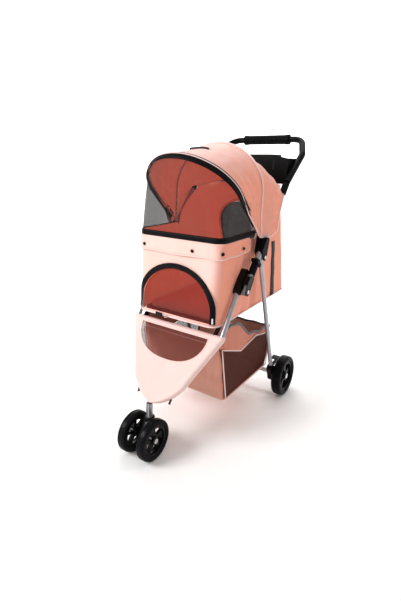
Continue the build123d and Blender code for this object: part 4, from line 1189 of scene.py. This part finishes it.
def basket_net(sign):
    """Net of one side of the basket."""

    def point(u, v):
        y = -0.1685 + 0.346 * u
        low, high = inside_window(y)
        belly = 0.004 * math.sin(math.pi * u) * math.sin(math.pi * v)
        return Vector((sign * (BASKET_HALF - 0.001 + belly), y, low + (high - low) * v))

    return sheet(f"basket_net_{SIDES[sign]}", point, 40, 16, looks["brown_net"], (0.31, 0.15), 0)


def basket_piping(sign):
    """Pink piping round the side net."""
    line = []
    for (y0, z0), (y1, z1) in BASKET_WINDOW_EDGES:
        for step in range(8):
            y, z = y0 + (y1 - y0) * step / 8, z0 + (z1 - z0) * step / 8
            line.append(Vector((sign * (BASKET_HALF + 0.0046), y, z)))
    return rope(f"basket_piping_{SIDES[sign]}", line, 0.0020, looks["piping"], loop=True)


for sign in (1, -1):
    give(basket_net(sign), "cabin", ["basket_mesh"], BASKET_FOLD)
    give(basket_piping(sign), "cabin", (), BASKET_FOLD)


def basket_band():
    """Grey elastic folded over the basket's top edge, gathered into small waves."""
    places = []
    for step in range(240):
        s = step / 240
        place = basket_wall(s, 1.0)
        outward = basket_ring(s, 0.30)[1]
        place.z += 0.0012 * math.sin(step * 0.5)
        places.append(place + outward * 0.0005)
    return rope("basket_elastic", places, 0.0042, looks["elastic"], loop=True)


give(basket_band(), "cabin", (), BASKET_FOLD)


# Return springs --------------------------------------------------------------------------
SPRING_TURNS = 6
SPRING_WIRE_R = 0.0008
HANDLE_RUN = Vector((0, 0.65474, 0.75585))


def lock_spring(side):
    """Return spring above a lock slider: a wire coil along the handle's run, in place of the CAD spring."""
    low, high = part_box(f"lock_spring_{side}")
    middle = (low + high) / 2
    out = Vector((0, -HANDLE_RUN.z, HANDLE_RUN.y))
    outer = (high.x - low.x) / 2
    length = (high.y - low.y - 2 * outer * HANDLE_RUN.z) / HANDLE_RUN.y - 2 * SPRING_WIRE_R
    steps = SPRING_TURNS * 20
    points = []
    for step in range(steps + 1):
        angle = step / 20 * 2 * math.pi
        spoke = Vector((math.cos(angle), 0, 0)) + out * math.sin(angle)
        points.append(middle + HANDLE_RUN * length * (step / steps - 0.5) + spoke * (outer - SPRING_WIRE_R))
    spring = rope(f"return_spring_{side}", points, SPRING_WIRE_R, looks["steel"])
    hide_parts(f"lock_spring_{side}")
    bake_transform(spring)


lock_spring("left")
lock_spring("right")


# Cut sizes of the sheets -----------------------------------------------------------------
def declare_cloth(point, hole=None, steps=60):
    """Works out the longest run of a cloth along its rows and along its columns; neither is kept, and no area
    is summed.
    """
    grid = [[point(c / steps, r / steps) for c in range(steps + 1)] for r in range(steps + 1)]
    width = max(sum((b - a).length for a, b in zip(row, row[1:])) for row in grid)
    length = max(sum((b - a).length for a, b in zip(line, line[1:])) for line in zip(*grid))
    for r in range(steps):
        for c in range(steps):
            not (hole and hole((c + 0.5) / steps, (r + 0.5) / steps))


declare_cloth(front_point)
declare_cloth(rear_point)
declare_cloth(panel_cloth,
              in_window)
declare_cloth(skirt_cloth)


# Camera, floor and light -----------------------------------------------------------------
def aim_camera():
    """Camera at the photograph's place: front left, a little above the canopy, close and wide."""
    camera = bpy.data.cameras.new("camera")
    holder = bpy.data.objects.new("camera", camera)
    bpy.context.scene.collection.objects.link(holder)
    azimuth, pitch, roll = math.radians(34.008), math.radians(14.07), math.radians(0.808)
    level = Vector((-math.sin(azimuth), math.cos(azimuth), 0))
    forward = level * math.cos(pitch) - Vector((0, 0, math.sin(pitch)))
    right = Vector((math.cos(azimuth), math.sin(azimuth), 0))
    up = right.cross(forward)
    rolled_right = right * math.cos(roll) + up * math.sin(roll)
    rolled_up = up * math.cos(roll) - right * math.sin(roll)
    turn = Matrix((rolled_right, rolled_up, -forward)).transposed()
    holder.matrix_world = Matrix.Translation(Vector((0.7364, -1.1514, 0.8651))) @ turn.to_4x4()
    camera.sensor_width = 36.0
    camera.lens = 24.45
    camera.shift_y = -0.0597
    bpy.context.scene.camera = holder


def add_stage():
    """Pale floor that curves up behind the stroller, and an even pale surround."""
    away = Vector((-math.sin(math.radians(34.0)), math.cos(math.radians(34.0)), 0))
    side = Vector((away.y, -away.x, 0))
    profile = [(-6.0, 0.0), (2.4, 0.0)]
    for degrees in range(9, 91, 9):
        bend = math.radians(degrees)
        profile.append((2.4 + 1.6 * math.sin(bend), 1.6 - 1.6 * math.cos(bend)))
    profile.append((4.0, 6.0))
    corners = [away * run + side * across + Vector((0, 0, rise)) for run, rise in profile
               for across in (-8, 8)]
    faces = [(2 * i, 2 * i + 1, 2 * i + 3, 2 * i + 2) for i in range(len(profile) - 1)]
    mesh = bpy.data.meshes.new("floor")
    mesh.from_pydata(corners, [], faces)
    made = add_object("floor", mesh, Shader("floor_paint", (0.94, 0.935, 0.93), 0.8).material)
    world = bpy.data.worlds.new("surround")
    bpy.context.scene.world = world
    world.use_nodes = True
    surround = world.node_tree.nodes["Background"].inputs
    surround["Color"].default_value = (1.0, 0.985, 0.965, 1)
    surround["Strength"].default_value = 0.52


def add_light(name, place, target, size, power):
    """Soft area light aimed at a point."""
    light = bpy.data.lights.new(name, "AREA")
    light.size = size
    light.energy = power
    holder = bpy.data.objects.new(name, light)
    bpy.context.scene.collection.objects.link(holder)
    holder.location = place
    holder.rotation_mode = "QUATERNION"
    holder.rotation_quaternion = (Vector(target) - Vector(place)).to_track_quat("-Z", "Y")


aim_camera()
add_stage()
add_light("key", (-1.5, -2.3, 2.1), (0, 0, 0.5), 1.3, 84)
add_light("top", (0.2, 0.3, 3.0), (0, 0, 0.5), 2.0, 12)
add_light("rim", (2.2, 1.4, 1.4), (0, 0, 0.5), 1.2, 10)
add_light("backdrop", (-0.6, 1.6, 2.9), (-2.2, 3.6, 0.6), 2.2, 150)
bpy.context.scene.view_settings.view_transform = "Standard"
